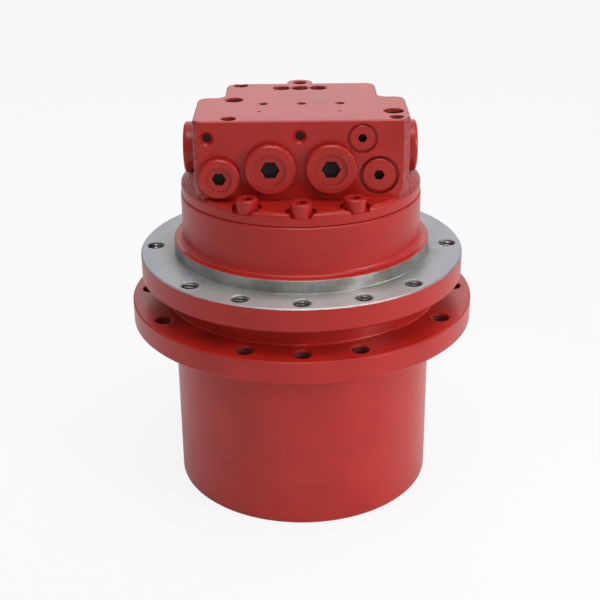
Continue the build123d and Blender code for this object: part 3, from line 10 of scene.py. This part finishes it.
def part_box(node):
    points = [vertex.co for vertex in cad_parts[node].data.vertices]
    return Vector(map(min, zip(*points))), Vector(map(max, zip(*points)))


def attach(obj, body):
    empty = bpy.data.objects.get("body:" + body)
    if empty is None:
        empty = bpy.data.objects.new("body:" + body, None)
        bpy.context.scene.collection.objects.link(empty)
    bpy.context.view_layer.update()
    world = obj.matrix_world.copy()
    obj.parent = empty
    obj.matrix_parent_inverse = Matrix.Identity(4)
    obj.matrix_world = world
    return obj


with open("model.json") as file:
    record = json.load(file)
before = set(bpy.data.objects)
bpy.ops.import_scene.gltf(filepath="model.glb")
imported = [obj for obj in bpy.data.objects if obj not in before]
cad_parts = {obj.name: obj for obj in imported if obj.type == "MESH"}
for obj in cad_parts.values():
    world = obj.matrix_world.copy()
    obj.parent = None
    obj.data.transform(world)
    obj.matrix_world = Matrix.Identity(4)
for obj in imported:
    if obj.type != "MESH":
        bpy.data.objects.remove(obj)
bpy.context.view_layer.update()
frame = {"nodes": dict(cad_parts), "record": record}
nodes = frame["nodes"]
MM = 0.001
random.seed(7)

# Places on the part in millimetres, measured from the tops of the block, the casing and the hub
BLOCK_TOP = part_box("valve_block")[1].z / MM
CASING_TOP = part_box("spindle_casing")[1].z / MM
HUB_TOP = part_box("hub")[1].z / MM
FRAME_FLANGE_TOP = CASING_TOP - 47.5
FRAME_FLANGE_THICK = 18.5
PILOT_TOP = CASING_TOP - 37.0
HUB_FLANGE_TOP = HUB_TOP - 17.5
HUB_FLANGE_THICK = 18.0
FRAME_CIRCLE = 115.5
FRAME_ANGLES = (0, 22.5, 45, 90, 135, 157.5, 180, 202.5, 225, 270, 315, 337.5)
SPROCKET_CIRCLE = 121.5
SPROCKET_ANGLES = (0, 20, 60, 90, 120, 160, 180, 200, 240, 270, 300, 340)
FLANGE_THREAD = 6.5
HOLE_ROOM = 7.0
PILOT_INSIDE = 99.0
# Painted shade on the bare ring: it starts this far to either side of the middle and is strongest at the
# second distance.
END_SHADE_START, END_SHADE_END = 50.0, 112.0
ROUGH_SIDE, ROUGH_BACK, ROUGH_FOOT = 72.0, -40.0, 7.5
SPOOL_Z = BLOCK_TOP - 35.0
FRONT = -56.0
LEDGE_Z = CASING_TOP + 9.6

# Headed plugs: x, z, head radius, hexagon across flats
HEADED = ((-22.0, SPOOL_Z, 18.5, 12.0), (22.0, SPOOL_Z, 18.5, 12.0), (-59.0, SPOOL_Z - 6.5, 14.8, 9.0))
HEAD = 7.0
SUNK = ((57.0, SPOOL_Z - 6.0, 7.0), (44.6, SPOOL_Z + 21.6, 6.0))
TEST = ((-67.5, SPOOL_Z + 22.0), (-0.5, SPOOL_Z + 23.0))
# Threaded holes in the top: x, y, radius, depth
TOP_HOLES = (
    (-14.4, 41.0, 6.4, 22.0), (0.0, 41.0, 6.4, 26.0), (14.4, 41.0, 6.4, 24.0), (0.0, 58.5, 5.2, 15.0),
    (-51.5, -49.0, 5.3, 18.0), (69.5, -48.0, 5.0, 17.0), (68.5, -31.0, 7.2, 20.0),
    (-50.0, 5.0, 6.7, 19.0), (-46.5, 50.0, 5.3, 16.0),
    (-27.5, -7.5, 3.2, 11.0), (1.2, -7.5, 3.2, 13.0), (30.0, -7.5, 3.2, 12.0),
)
SCREW_CIRCLE = 84.0
FRONT_SCREWS = (-27.5, 0.0, 27.5)
SCREW_POCKET = 11.0


def around(radius, angle):
    """The point at an angle from the front on a circle round the drive axis."""
    turn = math.radians(angle)
    return radius * math.sin(turn), -radius * math.cos(turn)


# Node helpers

class Nodes:
    """Short calls that add nodes to a tree."""

    def __init__(self, tree):
        self.tree = tree

    def node(self, kind, **settings):
        made = self.tree.nodes.new(kind)
        for key, value in settings.items():
            setattr(made, key, value)
        return made

    def link(self, source, target):
        self.tree.links.new(source, target)
        return target

    def feed(self, socket, value):
        """Links a socket, or sets a plain value on it."""
        if isinstance(value, bpy.types.NodeSocket):
            self.link(value, socket)
        else:
            socket.default_value = value

    def math(self, operation, a, b=0.0, c=0.0, clamp=False):
        made = self.node("ShaderNodeMath", operation=operation, use_clamp=clamp)
        for socket, value in zip(made.inputs, (a, b, c)):
            self.feed(socket, value)
        return made.outputs[0]

    def xyz(self, vector):
        made = self.node("ShaderNodeSeparateXYZ")
        self.link(vector, made.inputs[0])
        return made.outputs

    def ramp(self, value, low, high, out_low=0.0, out_high=1.0):
        made = self.node("ShaderNodeMapRange", clamp=True)
        for socket, number in zip(made.inputs, (value, low, high, out_low, out_high)):
            self.feed(socket, number)
        return made.outputs[0]

    def between(self, value, low, high, soft):
        """One where a value lies between two limits, fading over soft."""
        up = self.ramp(value, low - soft, low + soft)
        down = self.ramp(value, high - soft, high + soft, 1.0, 0.0)
        return self.math("MULTIPLY", up, down)


class Shader(Nodes):
    """A material with a Principled shader."""

    def __init__(self, name, **values):
        self.material = bpy.data.materials.new(name)
        self.material.use_nodes = True
        super().__init__(self.material.node_tree)
        self.main = self.tree.nodes["Principled BSDF"]
        for key, value in values.items():
            self.main.inputs[key.replace("_", " ").title().replace("Ior", "IOR")].default_value = value

    def place(self):
        """The point in the part's own frame."""
        return self.node("ShaderNodeTexCoord").outputs["Object"]

    def radius(self):
        """Distance from the drive axis."""
        x, y, _ = self.xyz(self.place())
        return self.math("SQRT", self.math("ADD", self.math("MULTIPLY", x, x), self.math("MULTIPLY", y, y)))

    def noise(self, scale, detail=3.0, roughness=0.55, point=None):
        made = self.node("ShaderNodeTexNoise")
        self.link(point or self.place(), made.inputs["Vector"])
        made.inputs["Scale"].default_value = scale
        made.inputs["Detail"].default_value = detail
        made.inputs["Roughness"].default_value = roughness
        return made.outputs["Fac"]

    def mix(self, factor, a, b):
        made = self.node("ShaderNodeMix", data_type="RGBA")
        self.feed(made.inputs["Factor"], factor)
        for socket, value in ((made.inputs[6], a), (made.inputs[7], b)):
            self.feed(socket, value)
        return made.outputs[2]

    def bump(self, height, distance, under=None):
        made = self.node("ShaderNodeBump")
        made.inputs["Distance"].default_value = distance
        self.link(height, made.inputs["Height"])
        if under is not None:
            self.link(under, made.inputs["Normal"])
        return made.outputs["Normal"]

    def soft_edges(self, radius):
        """A normal that rounds every edge a little, as paint does."""
        made = self.node("ShaderNodeBevel", samples=4)
        made.inputs["Radius"].default_value = radius
        return made.outputs[0]

    def normal(self, source):
        self.link(source, self.main.inputs["Normal"])


# Materials

RED = (0.43, 0.015, 0.009, 1.0)
RED_DEEP = (0.36, 0.010, 0.006, 1.0)
# Painted shade for the pits of the rough casting, and a painted pinkish sheen for its peaks.
RED_PIT_SHADE = (0.29, 0.013, 0.011, 1.0)
RED_PEAK_SHEEN = (0.48, 0.050, 0.043, 1.0)
STEEL = (0.60, 0.60, 0.59, 1.0)
# The next two colours are painted shade on the bare ring: bluish dark towards its left and right ends, and
# dark next to the pilot wall.
STEEL_END_SHADE = (0.27, 0.28, 0.33, 1.0)
STEEL_SHADE = (0.19, 0.20, 0.22, 1.0)
STEEL_STAIN = (0.24, 0.23, 0.17, 1.0)
PAINT_LOOK = {"roughness": 0.32, "specular_ior_level": 0.42, "coat_weight": 0.08, "coat_roughness": 0.2}


def paint_colour(s):
    """Red with slow, faint variation."""
    return s.mix(s.ramp(s.noise(28.0, 4.0), 0.35, 0.7), RED, RED_DEEP)


def peel(s, depth, under=None):
    """The fine orange-peel of sprayed paint."""
    return s.bump(s.noise(900.0, 2.0), depth, under)


def red_paint(name, depth=0.00005):
    """Sprayed paint over a machined surface."""
    s = Shader(name, **PAINT_LOOK)
    s.link(paint_colour(s), s.main.inputs["Base Color"])
    s.normal(peel(s, depth, s.soft_edges(0.6 * MM)))
    return s.material


def cast_paint(name):
    """Paint over rough casting, but smooth on the milled front and top faces and the round foot."""
    s = Shader(name, **PAINT_LOOK)
    x, y, z = s.xyz(s.place())
    _, ny, nz = s.xyz(s.node("ShaderNodeNewGeometry").outputs["Normal"])
    beside = s.math("GREATER_THAN", s.math("ABSOLUTE", x), ROUGH_SIDE * MM)
    behind = s.math("GREATER_THAN", y, ROUGH_BACK * MM)
    upright = s.math("MULTIPLY", s.math("LESS_THAN", nz, 0.85), s.math("GREATER_THAN", ny, -0.97))
    above = s.math("GREATER_THAN", z, (CASING_TOP + ROUGH_FOOT) * MM)
    rough = s.math("MULTIPLY", s.math("MAXIMUM", beside, behind), s.math("MULTIPLY", upright, above))
    lumps = s.math("MULTIPLY", s.noise(150.0, 3.0, 0.6), rough)
    pits = s.noise(480.0, 3.0, 0.6)
    grain = s.math("MULTIPLY", pits, rough)
    # Painted shade and painted sheen: the rough casting is darker in the pits of its grain and lighter,
    # pinker, on the peaks.
    pit_shade_and_peak_sheen = s.mix(s.ramp(pits, 0.38, 0.62), RED_PIT_SHADE, RED_PEAK_SHEEN)
    s.link(s.mix(rough, paint_colour(s), pit_shade_and_peak_sheen), s.main.inputs["Base Color"])
    under = s.bump(lumps, 0.0040, s.soft_edges(0.7 * MM))
    under = s.bump(grain, 0.0020, under)
    s.normal(peel(s, 0.00005, under))
    return s.material


def casing_material(name):
    """Red paint, with the mounting ring and its pilot left as bare turned steel."""
    s = Shader(name, **PAINT_LOOK)
    x, _, z = s.xyz(s.place())
    radius = s.radius()
    ragged = s.math("MULTIPLY_ADD", s.noise(260.0, 4.0), 0.0008, -0.0004)
    height = s.math("ADD", z, ragged)
    bare = s.between(height, (FRAME_FLANGE_TOP - 0.9) * MM, (PILOT_TOP - 0.7) * MM, 0.12 * MM)
    bare = s.math("MULTIPLY", bare, s.math("GREATER_THAN", radius, PILOT_INSIDE * MM))
    underside = FRAME_FLANGE_TOP - FRAME_FLANGE_THICK
    in_flange = s.between(z, (underside + 0.5) * MM, FRAME_FLANGE_TOP * MM, 0.2 * MM)
    hole_band = s.between(radius, (FRAME_CIRCLE - HOLE_ROOM) * MM, (FRAME_CIRCLE + HOLE_ROOM) * MM, 0.1 * MM)
    in_holes = s.math("MULTIPLY", in_flange, hole_band)
    bare = s.math("MAXIMUM", bare, in_holes)
    rings = s.node("ShaderNodeCombineXYZ")
    s.link(radius, rings.inputs[0])
    fine = s.noise(4200.0, 2.0, point=rings.outputs[0])
    # Painted shade: the bare steel is darkened next to the pilot wall, where the casing's shadow falls, in
    # blotchy patches with a warm stain tint.
    pilot_shade = s.ramp(radius, (PILOT_INSIDE + 2) * MM, (PILOT_INSIDE + 15) * MM, 1.0, 0.12)
    blotch = s.ramp(s.noise(34.0, 5.0, 0.62), 0.34, 0.64, 0.3, 1.0)
    shade_and_stain = s.math("MULTIPLY", pilot_shade, blotch)
    # Painted shade: the ring grows darker and bluer towards its left and right ends.
    end_shade = s.ramp(s.math("ABSOLUTE", x), END_SHADE_START * MM, END_SHADE_END * MM, 0.0, 0.8)
    steel_with_end_shade = s.mix(end_shade, STEEL, STEEL_END_SHADE)
    steel = s.mix(shade_and_stain, steel_with_end_shade, s.mix(s.ramp(s.noise(70.0), 0.4, 0.6), STEEL_SHADE, STEEL_STAIN))
    s.link(s.mix(bare, paint_colour(s), steel), s.main.inputs["Base Color"])
    s.link(s.math("MULTIPLY", bare, 0.6), s.main.inputs["Metallic"])
    s.link(s.math("MULTIPLY", bare, 0.7), s.main.inputs["Anisotropic"])
    grooves = s.node("ShaderNodeTangent", direction_type="RADIAL", axis="Z")
    s.link(grooves.outputs[0], s.main.inputs["Tangent"])
    s.main.inputs["Anisotropic Rotation"].default_value = 0.25
    turned = s.math("MULTIPLY_ADD", fine, 0.10, 0.36)
    s.link(s.math("MULTIPLY_ADD", bare, s.math("SUBTRACT", turned, 0.34), 0.34), s.main.inputs["Roughness"])
    under = s.bump(s.math("MULTIPLY", fine, bare), 0.00010, s.soft_edges(0.6 * MM))
    s.normal(peel(s, 0.00004, under))
    return s.material


def metal(name, colour, roughness, metallic=1.0, grain=240.0):
    s = Shader(name, metallic=metallic)
    worn = s.noise(grain, 4.0)
    shade = tuple(0.8 * c for c in colour[:3]) + (1.0,)
    s.link(s.mix(worn, shade, colour), s.main.inputs["Base Color"])
    s.link(s.ramp(worn, 0.3, 0.7, roughness - 0.06, roughness + 0.06), s.main.inputs["Roughness"])
    return s.material


def shaded_dark_metal(name, colour):
    """A dark colour for metal deep in a socket or a threaded hole: partly bare or thinly painted metal,
    partly painted shade, as hardly any light comes back there.
    """
    s = Shader(name, roughness=0.5, specular_ior_level=0.15)
    lighter = tuple(1.6 * c for c in colour[:3]) + (1.0,)
    s.link(s.mix(s.noise(300.0), colour, lighter), s.main.inputs["Base Color"])
    return s.material


PAINT = red_paint("red paint")
FITTING_PAINT = red_paint("red paint on fittings", 0.00004)
CAST = cast_paint("red paint on casting")
CASING = casing_material("casing paint and bare ring")
GEAR = metal("gear steel", (0.45, 0.45, 0.46, 1), 0.30)
BEARING = metal("bearing steel", (0.62, 0.62, 0.64, 1), 0.16)
MOTOR = metal("motor steel", (0.48, 0.49, 0.50, 1), 0.26)
SPRING = metal("spring steel", (0.14, 0.14, 0.15, 1), 0.42)
BRONZE = metal("bronze", (0.60, 0.36, 0.14, 1), 0.30)
BRASS = metal("brass", (0.68, 0.48, 0.18, 1), 0.28)
LINING = metal("friction lining", (0.22, 0.14, 0.08, 1), 0.70, 0.3)
RUBBER = metal("black rubber", (0.02, 0.02, 0.02, 1), 0.55, 0.0)
THREAD = metal("bare thread", (0.30, 0.28, 0.26, 1), 0.28)
# Partly painted shade: thin red paint on threads, darkened to the shade inside the holes.
PORT_PAINT_AND_SHADE = shaded_dark_metal("thread under thin paint", (0.10, 0.020, 0.017, 1))
# Partly painted shade: the sockets' bare metal, made near-black as if in deep shadow.
SOCKET_BARE_AND_SHADE = shaded_dark_metal("dark socket", (0.022, 0.019, 0.020, 1))

BY_SLOT = {
    "red_casting": PAINT, "red_fittings": FITTING_PAINT, "gear_steel": GEAR, "bearing_steel": BEARING,
    "motor_steel": MOTOR, "spring_steel": SPRING, "bronze": BRONZE, "brass_cage": BRASS,
    "sintered_bronze": LINING, "black_rubber": RUBBER,
}
BY_NODE = {"valve_block": CAST, "spindle_casing": CASING}


def dress(piece, material):
    piece.data.materials.clear()
    piece.data.materials.append(material)


for part in frame["record"]["subparts"]:
    name = part["node"]
    dress(nodes[name], BY_NODE.get(name, BY_SLOT[part["material_slot"]]))


# New pieces

class Form:
    """Corners and faces of one new piece, in millimetres."""

    def __init__(self):
        self.corners, self.faces = [], []

    def strip(self, sections, closed=False):
        """Joins a row of like sections into a tube, with flat ends unless it closes on itself."""
        count, first = len(sections[0]), len(self.corners)
        for section in sections:
            self.corners += section
        rows = len(sections)
        for row in range(rows if closed else rows - 1):
            a, b = first + row * count, first + (row + 1) % rows * count
            for i in range(count):
                j = (i + 1) % count
                self.faces.append((a + i, a + j, b + j, b + i))
        if not closed:
            self.faces.append(tuple(range(first + count - 1, first - 1, -1)))
            self.faces.append(tuple(range(first + (rows - 1) * count, first + rows * count)))

    def make(self, name, body, material, smooth=True):
        mesh = bpy.data.meshes.new(name)
        mesh.from_pydata([Vector(c) * MM for c in self.corners], [], self.faces)
        mesh.validate()
        mesh.polygons.foreach_set("use_smooth", [smooth] * len(mesh.polygons))
        made = bpy.data.objects.new(name, mesh)
        bpy.context.scene.collection.objects.link(made)
        dress(made, material)
        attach(made, body)
        return made


def thread(form, x, y, radius, low, high, pitch, depth, steps=24):
    """A cut thread's ridge winding up the wall of an upright hole, running out at both ends."""
    count = int((high - low - pitch) / pitch * steps)
    sections = []
    for k in range(count + 1):
        turn = 2 * math.pi * k / steps
        z = low + pitch * k / steps
        rise = depth * max(0.08, min(1.0, 2 * k / steps, 2 * (count - k) / steps))
        profile = ((0.0, 0.04), (-rise, 0.44), (-rise, 0.56), (0.0, 0.96))
        sections.append([
            (x + (radius + out) * math.cos(turn), y + (radius + out) * math.sin(turn), z + up * pitch)
            for out, up in profile
        ])
    form.strip(sections)


def flange_threads(name, body, material, circle, angles, top, pit_shade_and_peak_sheen):
    form = Form()
    for angle in angles:
        x, y = around(circle, angle)
        thread(form, x, y, FLANGE_THREAD - 0.02, top - pit_shade_and_peak_sheen + 0.5, top - 0.5, 2.0, 0.75)
    form.make(name, body, material, smooth=False)


def top_threads():
    form = Form()
    for x, y, radius, depth in TOP_HOLES:
        pitch = 1.0 if radius < 5 else 1.5
        thread(form, x, y, radius - 0.02, BLOCK_TOP - 0.8 * depth, BLOCK_TOP - 0.04 * depth, pitch, 0.5)
    form.make("port_threads", "casing", PORT_PAINT_AND_SHADE, smooth=False)


def knurls():
    """Fine straight grooves round the heads of the three large plugs."""
    form = Form()
    for x, z, radius, _ in HEADED:
        teeth = round(radius * 5.0)
        sections = []
        for k in range(2 * teeth):
            turn = math.pi * k / teeth
            out = radius + (0.30 if k % 2 else -0.02)
            across, up = math.cos(turn), math.sin(turn)
            sections.append([
                (x + r * across, FRONT - y, z + r * up)
                for r, y in ((radius - 0.3, 1.3), (out, 1.3), (out, HEAD - 1.5), (radius - 0.3, HEAD - 1.1))
            ])
        form.strip(sections, closed=True)
    form.make("plug_knurls", "casing", FITTING_PAINT, smooth=False)


def cup(form, x, y, z, radius, sides, depth, wall=0.12):
    """A thin liner with a floor that opens towards the front."""
    def loop(r, at):
        return [
            (x + r * math.cos(2 * math.pi * k / sides), at, z + r * math.sin(2 * math.pi * k / sides))
            for k in range(sides)
        ]
    inner = radius - wall
    form.strip([loop(radius, y + depth), loop(radius, y), loop(inner, y), loop(inner, y + depth - wall)])


def socket_shade_liners():
    """Dark liners in the key sockets and test holes: the sockets' unpainted metal, made darker as painted
    shade, and a painted-shade floor in each test hole.
    """
    form = Form()
    hexagon = 1 / math.sqrt(3)
    for x, z, _, across in HEADED:
        cup(form, x, FRONT - HEAD + 1.7, z, across * hexagon - 0.05, 6, 5.2)
    for x, z, across in SUNK:
        cup(form, x, FRONT + 0.5, z, across * hexagon - 0.05, 6, 5.4)
    # Painted shade: a dark floor in each test hole, where the plug's painted face lies in shadow.
    for x, z in TEST:
        cup(form, x, FRONT + 3.0, z, 2.85, 20, 1.0)
    form.make("socket_shade_liners", "casing", SOCKET_BARE_AND_SHADE, smooth=False)


def bead(form, path, size):
    """A ragged cast bead along a path on the front ledge, thinning out at both ends."""
    sections = []
    wide, high = 1.0, 1.0
    for k in range(1, len(path) - 1):
        (x, y), (x0, y0), (x1, y1) = path[k], path[k - 1], path[k + 1]
        length = math.hypot(x1 - x0, y1 - y0)
        across = ((y1 - y0) / length, (x0 - x1) / length)
        wide = 0.6 * wide + 0.4 * random.uniform(0.6, 1.5)
        high = 0.6 * high + 0.4 * random.uniform(0.4, 1.6)
        ends = min(1.0, 0.15 + k / 4, 0.15 + (len(path) - 1 - k) / 4)
        half, rise = 1.0 * size * wide * ends, 0.95 * size * high * ends
        profile = ((-1.0, -0.5), (-0.5, 0.8 * rise), (0.1, rise), (0.6, 0.6 * rise), (1.0, -0.7))
        sections.append([
            (x + out * half * across[0], y + out * half * across[1], LEDGE_Z + up) for out, up in profile
        ])
    form.strip(sections)


def flash_ridge():
    """The ragged edge that casting leaves along the rim of the front ledge and round the screw pockets."""
    form = Form()
    rim, pocket = 90.0, SCREW_POCKET + 0.7
    centres = [around(SCREW_CIRCLE, angle) for angle in FRONT_SCREWS]
    steps = [around(rim, -50 + 0.4 * k) for k in range(251)]
    run = []
    for point in steps + [None]:
        free = point and point[1] < FRONT - 1.5 and all(math.dist(point, c) > pocket for c in centres)
        if free:
            run.append(point)
        elif run:
            if len(run) > 8:
                bead(form, run, 1.0)
            run = []
    for (x, y), angle in zip(centres, FRONT_SCREWS):
        for side in (-1, 1):
            arc = [math.radians(angle - 90 + side * (62 + 4 * k)) for k in range(16)]
            bead(form, [(x + pocket * math.cos(a), y + pocket * math.sin(a)) for a in arc], 0.75)
    form.make("casting_flash", "casing", PAINT)


flange_threads(
    "frame_threads", "casing", THREAD, FRAME_CIRCLE, FRAME_ANGLES, FRAME_FLANGE_TOP, FRAME_FLANGE_THICK
)
flange_threads(
    "hub_threads", "hub", PORT_PAINT_AND_SHADE, SPROCKET_CIRCLE, SPROCKET_ANGLES, HUB_FLANGE_TOP, HUB_FLANGE_THICK
)
top_threads()
knurls()
socket_shade_liners()
flash_ridge()


# Studio

def floor():
    mesh = bpy.data.meshes.new("floor")
    half = 6.0
    corners = [(-half, -half, 0), (half, -half, 0), (half, half, 0), (-half, half, 0)]
    mesh.from_pydata(corners, [], [(0, 1, 2, 3)])
    made = bpy.data.objects.new("floor", mesh)
    bpy.context.scene.collection.objects.link(made)
    made.location.z = -0.0005
    s = Shader("white floor")
    diffuse = s.node("ShaderNodeBsdfDiffuse")
    diffuse.inputs["Color"].default_value = (0.8, 0.8, 0.8, 1)
    glow = s.node("ShaderNodeEmission")
    mixed = s.node("ShaderNodeMixShader")
    path = s.node("ShaderNodeLightPath").outputs
    mirrored = s.math("MAXIMUM", path["Is Glossy Ray"], path["Is Transmission Ray"])
    right, away, _ = s.xyz(s.place())
    level = s.math("MULTIPLY", s.ramp(right, -0.4, 0.4, 0.25, 0.6), s.ramp(away, -0.6, 0.1, 0.2, 1.0))
    dimmed = s.math("MULTIPLY", mirrored, level)
    seen = s.math("MAXIMUM", path["Is Camera Ray"], dimmed)
    s.link(s.math("MULTIPLY", seen, 0.86), mixed.inputs["Fac"])
    s.link(diffuse.outputs[0], mixed.inputs[1])
    s.link(glow.outputs[0], mixed.inputs[2])
    s.link(mixed.outputs[0], s.tree.nodes["Material Output"].inputs["Surface"])
    s.tree.nodes.remove(s.main)
    dress(made, s.material)


def backdrop():
    """A white room: bright behind and above, dimmer on the camera's side, and soft light all round."""
    world = bpy.data.worlds.new("studio")
    bpy.context.scene.world = world
    world.use_nodes = True
    n = Nodes(world.node_tree)
    path = n.node("ShaderNodeLightPath")
    right, away, _ = n.xyz(n.node("ShaderNodeTexCoord").outputs["Generated"])
    beside = n.ramp(n.math("ABSOLUTE", right), 0.15, 0.7, 1.0, 0.3)
    mirrored = n.math("MULTIPLY", n.ramp(away, -0.7, 0.3, 0.16, 1.0), beside)
    soft = n.ramp(right, -1.0, 1.0, 0.38, 0.88)
    shiny = n.math("MAXIMUM", path.outputs["Is Glossy Ray"], path.outputs["Is Transmission Ray"])
    unseen = n.math("MULTIPLY_ADD", shiny, n.math("SUBTRACT", mirrored, soft), soft)
    strength = n.math("MAXIMUM", path.outputs["Is Camera Ray"], unseen)
    n.tree.nodes["Background"].inputs["Color"].default_value = (1, 1, 1, 1)
    n.link(strength, n.tree.nodes["Background"].inputs["Strength"])


def lamp(name, place, aim, size, power, spread=180.0):
    light = bpy.data.lights.new(name, "AREA")
    light.spread = math.radians(spread)
    light.shape = "RECTANGLE"
    light.size, light.size_y = size
    light.energy = power
    made = bpy.data.objects.new(name, light)
    made.location = place
    made.rotation_euler = (Vector(aim) - Vector(place)).to_track_quat("-Z", "Y").to_euler()
    made.visible_camera = False
    bpy.context.scene.collection.objects.link(made)


def camera():
    """The photograph's view: close in front, looking down, with a slight roll."""
    distance, height, pitch, roll = 0.87489, 0.533541, 23.914, -0.577
    focal, centre_x, width = 1179.404, 301.909, 600.0
    data = bpy.data.cameras.new("camera")
    data.sensor_width = 36.0
    data.lens = focal / width * data.sensor_width
    data.shift_x = (width / 2 - centre_x) / width
    data.clip_start = 0.01
    made = bpy.data.objects.new("camera", data)
    turn = Matrix.Rotation(math.radians(90 - pitch), 4, "X") @ Matrix.Rotation(math.radians(roll), 4, "Z")
    made.matrix_world = Matrix.Translation((0, -distance, height)) @ turn
    bpy.context.scene.collection.objects.link(made)
    bpy.context.scene.camera = made


floor()
backdrop()
lamp("key", (0.95, -0.60, 0.50), (0, 0, 0.03), (0.45, 0.45), 0.48, 40.0)
lamp("back", (0.0, 1.25, 0.85), (0, 0, 0.28), (1.6, 0.7), 0.8)
lamp("top", (0.10, -0.26, 1.30), (0, 0, 0.2), (0.8, 0.5), 4.6)
camera()
bpy.context.scene.view_settings.view_transform = "Standard"
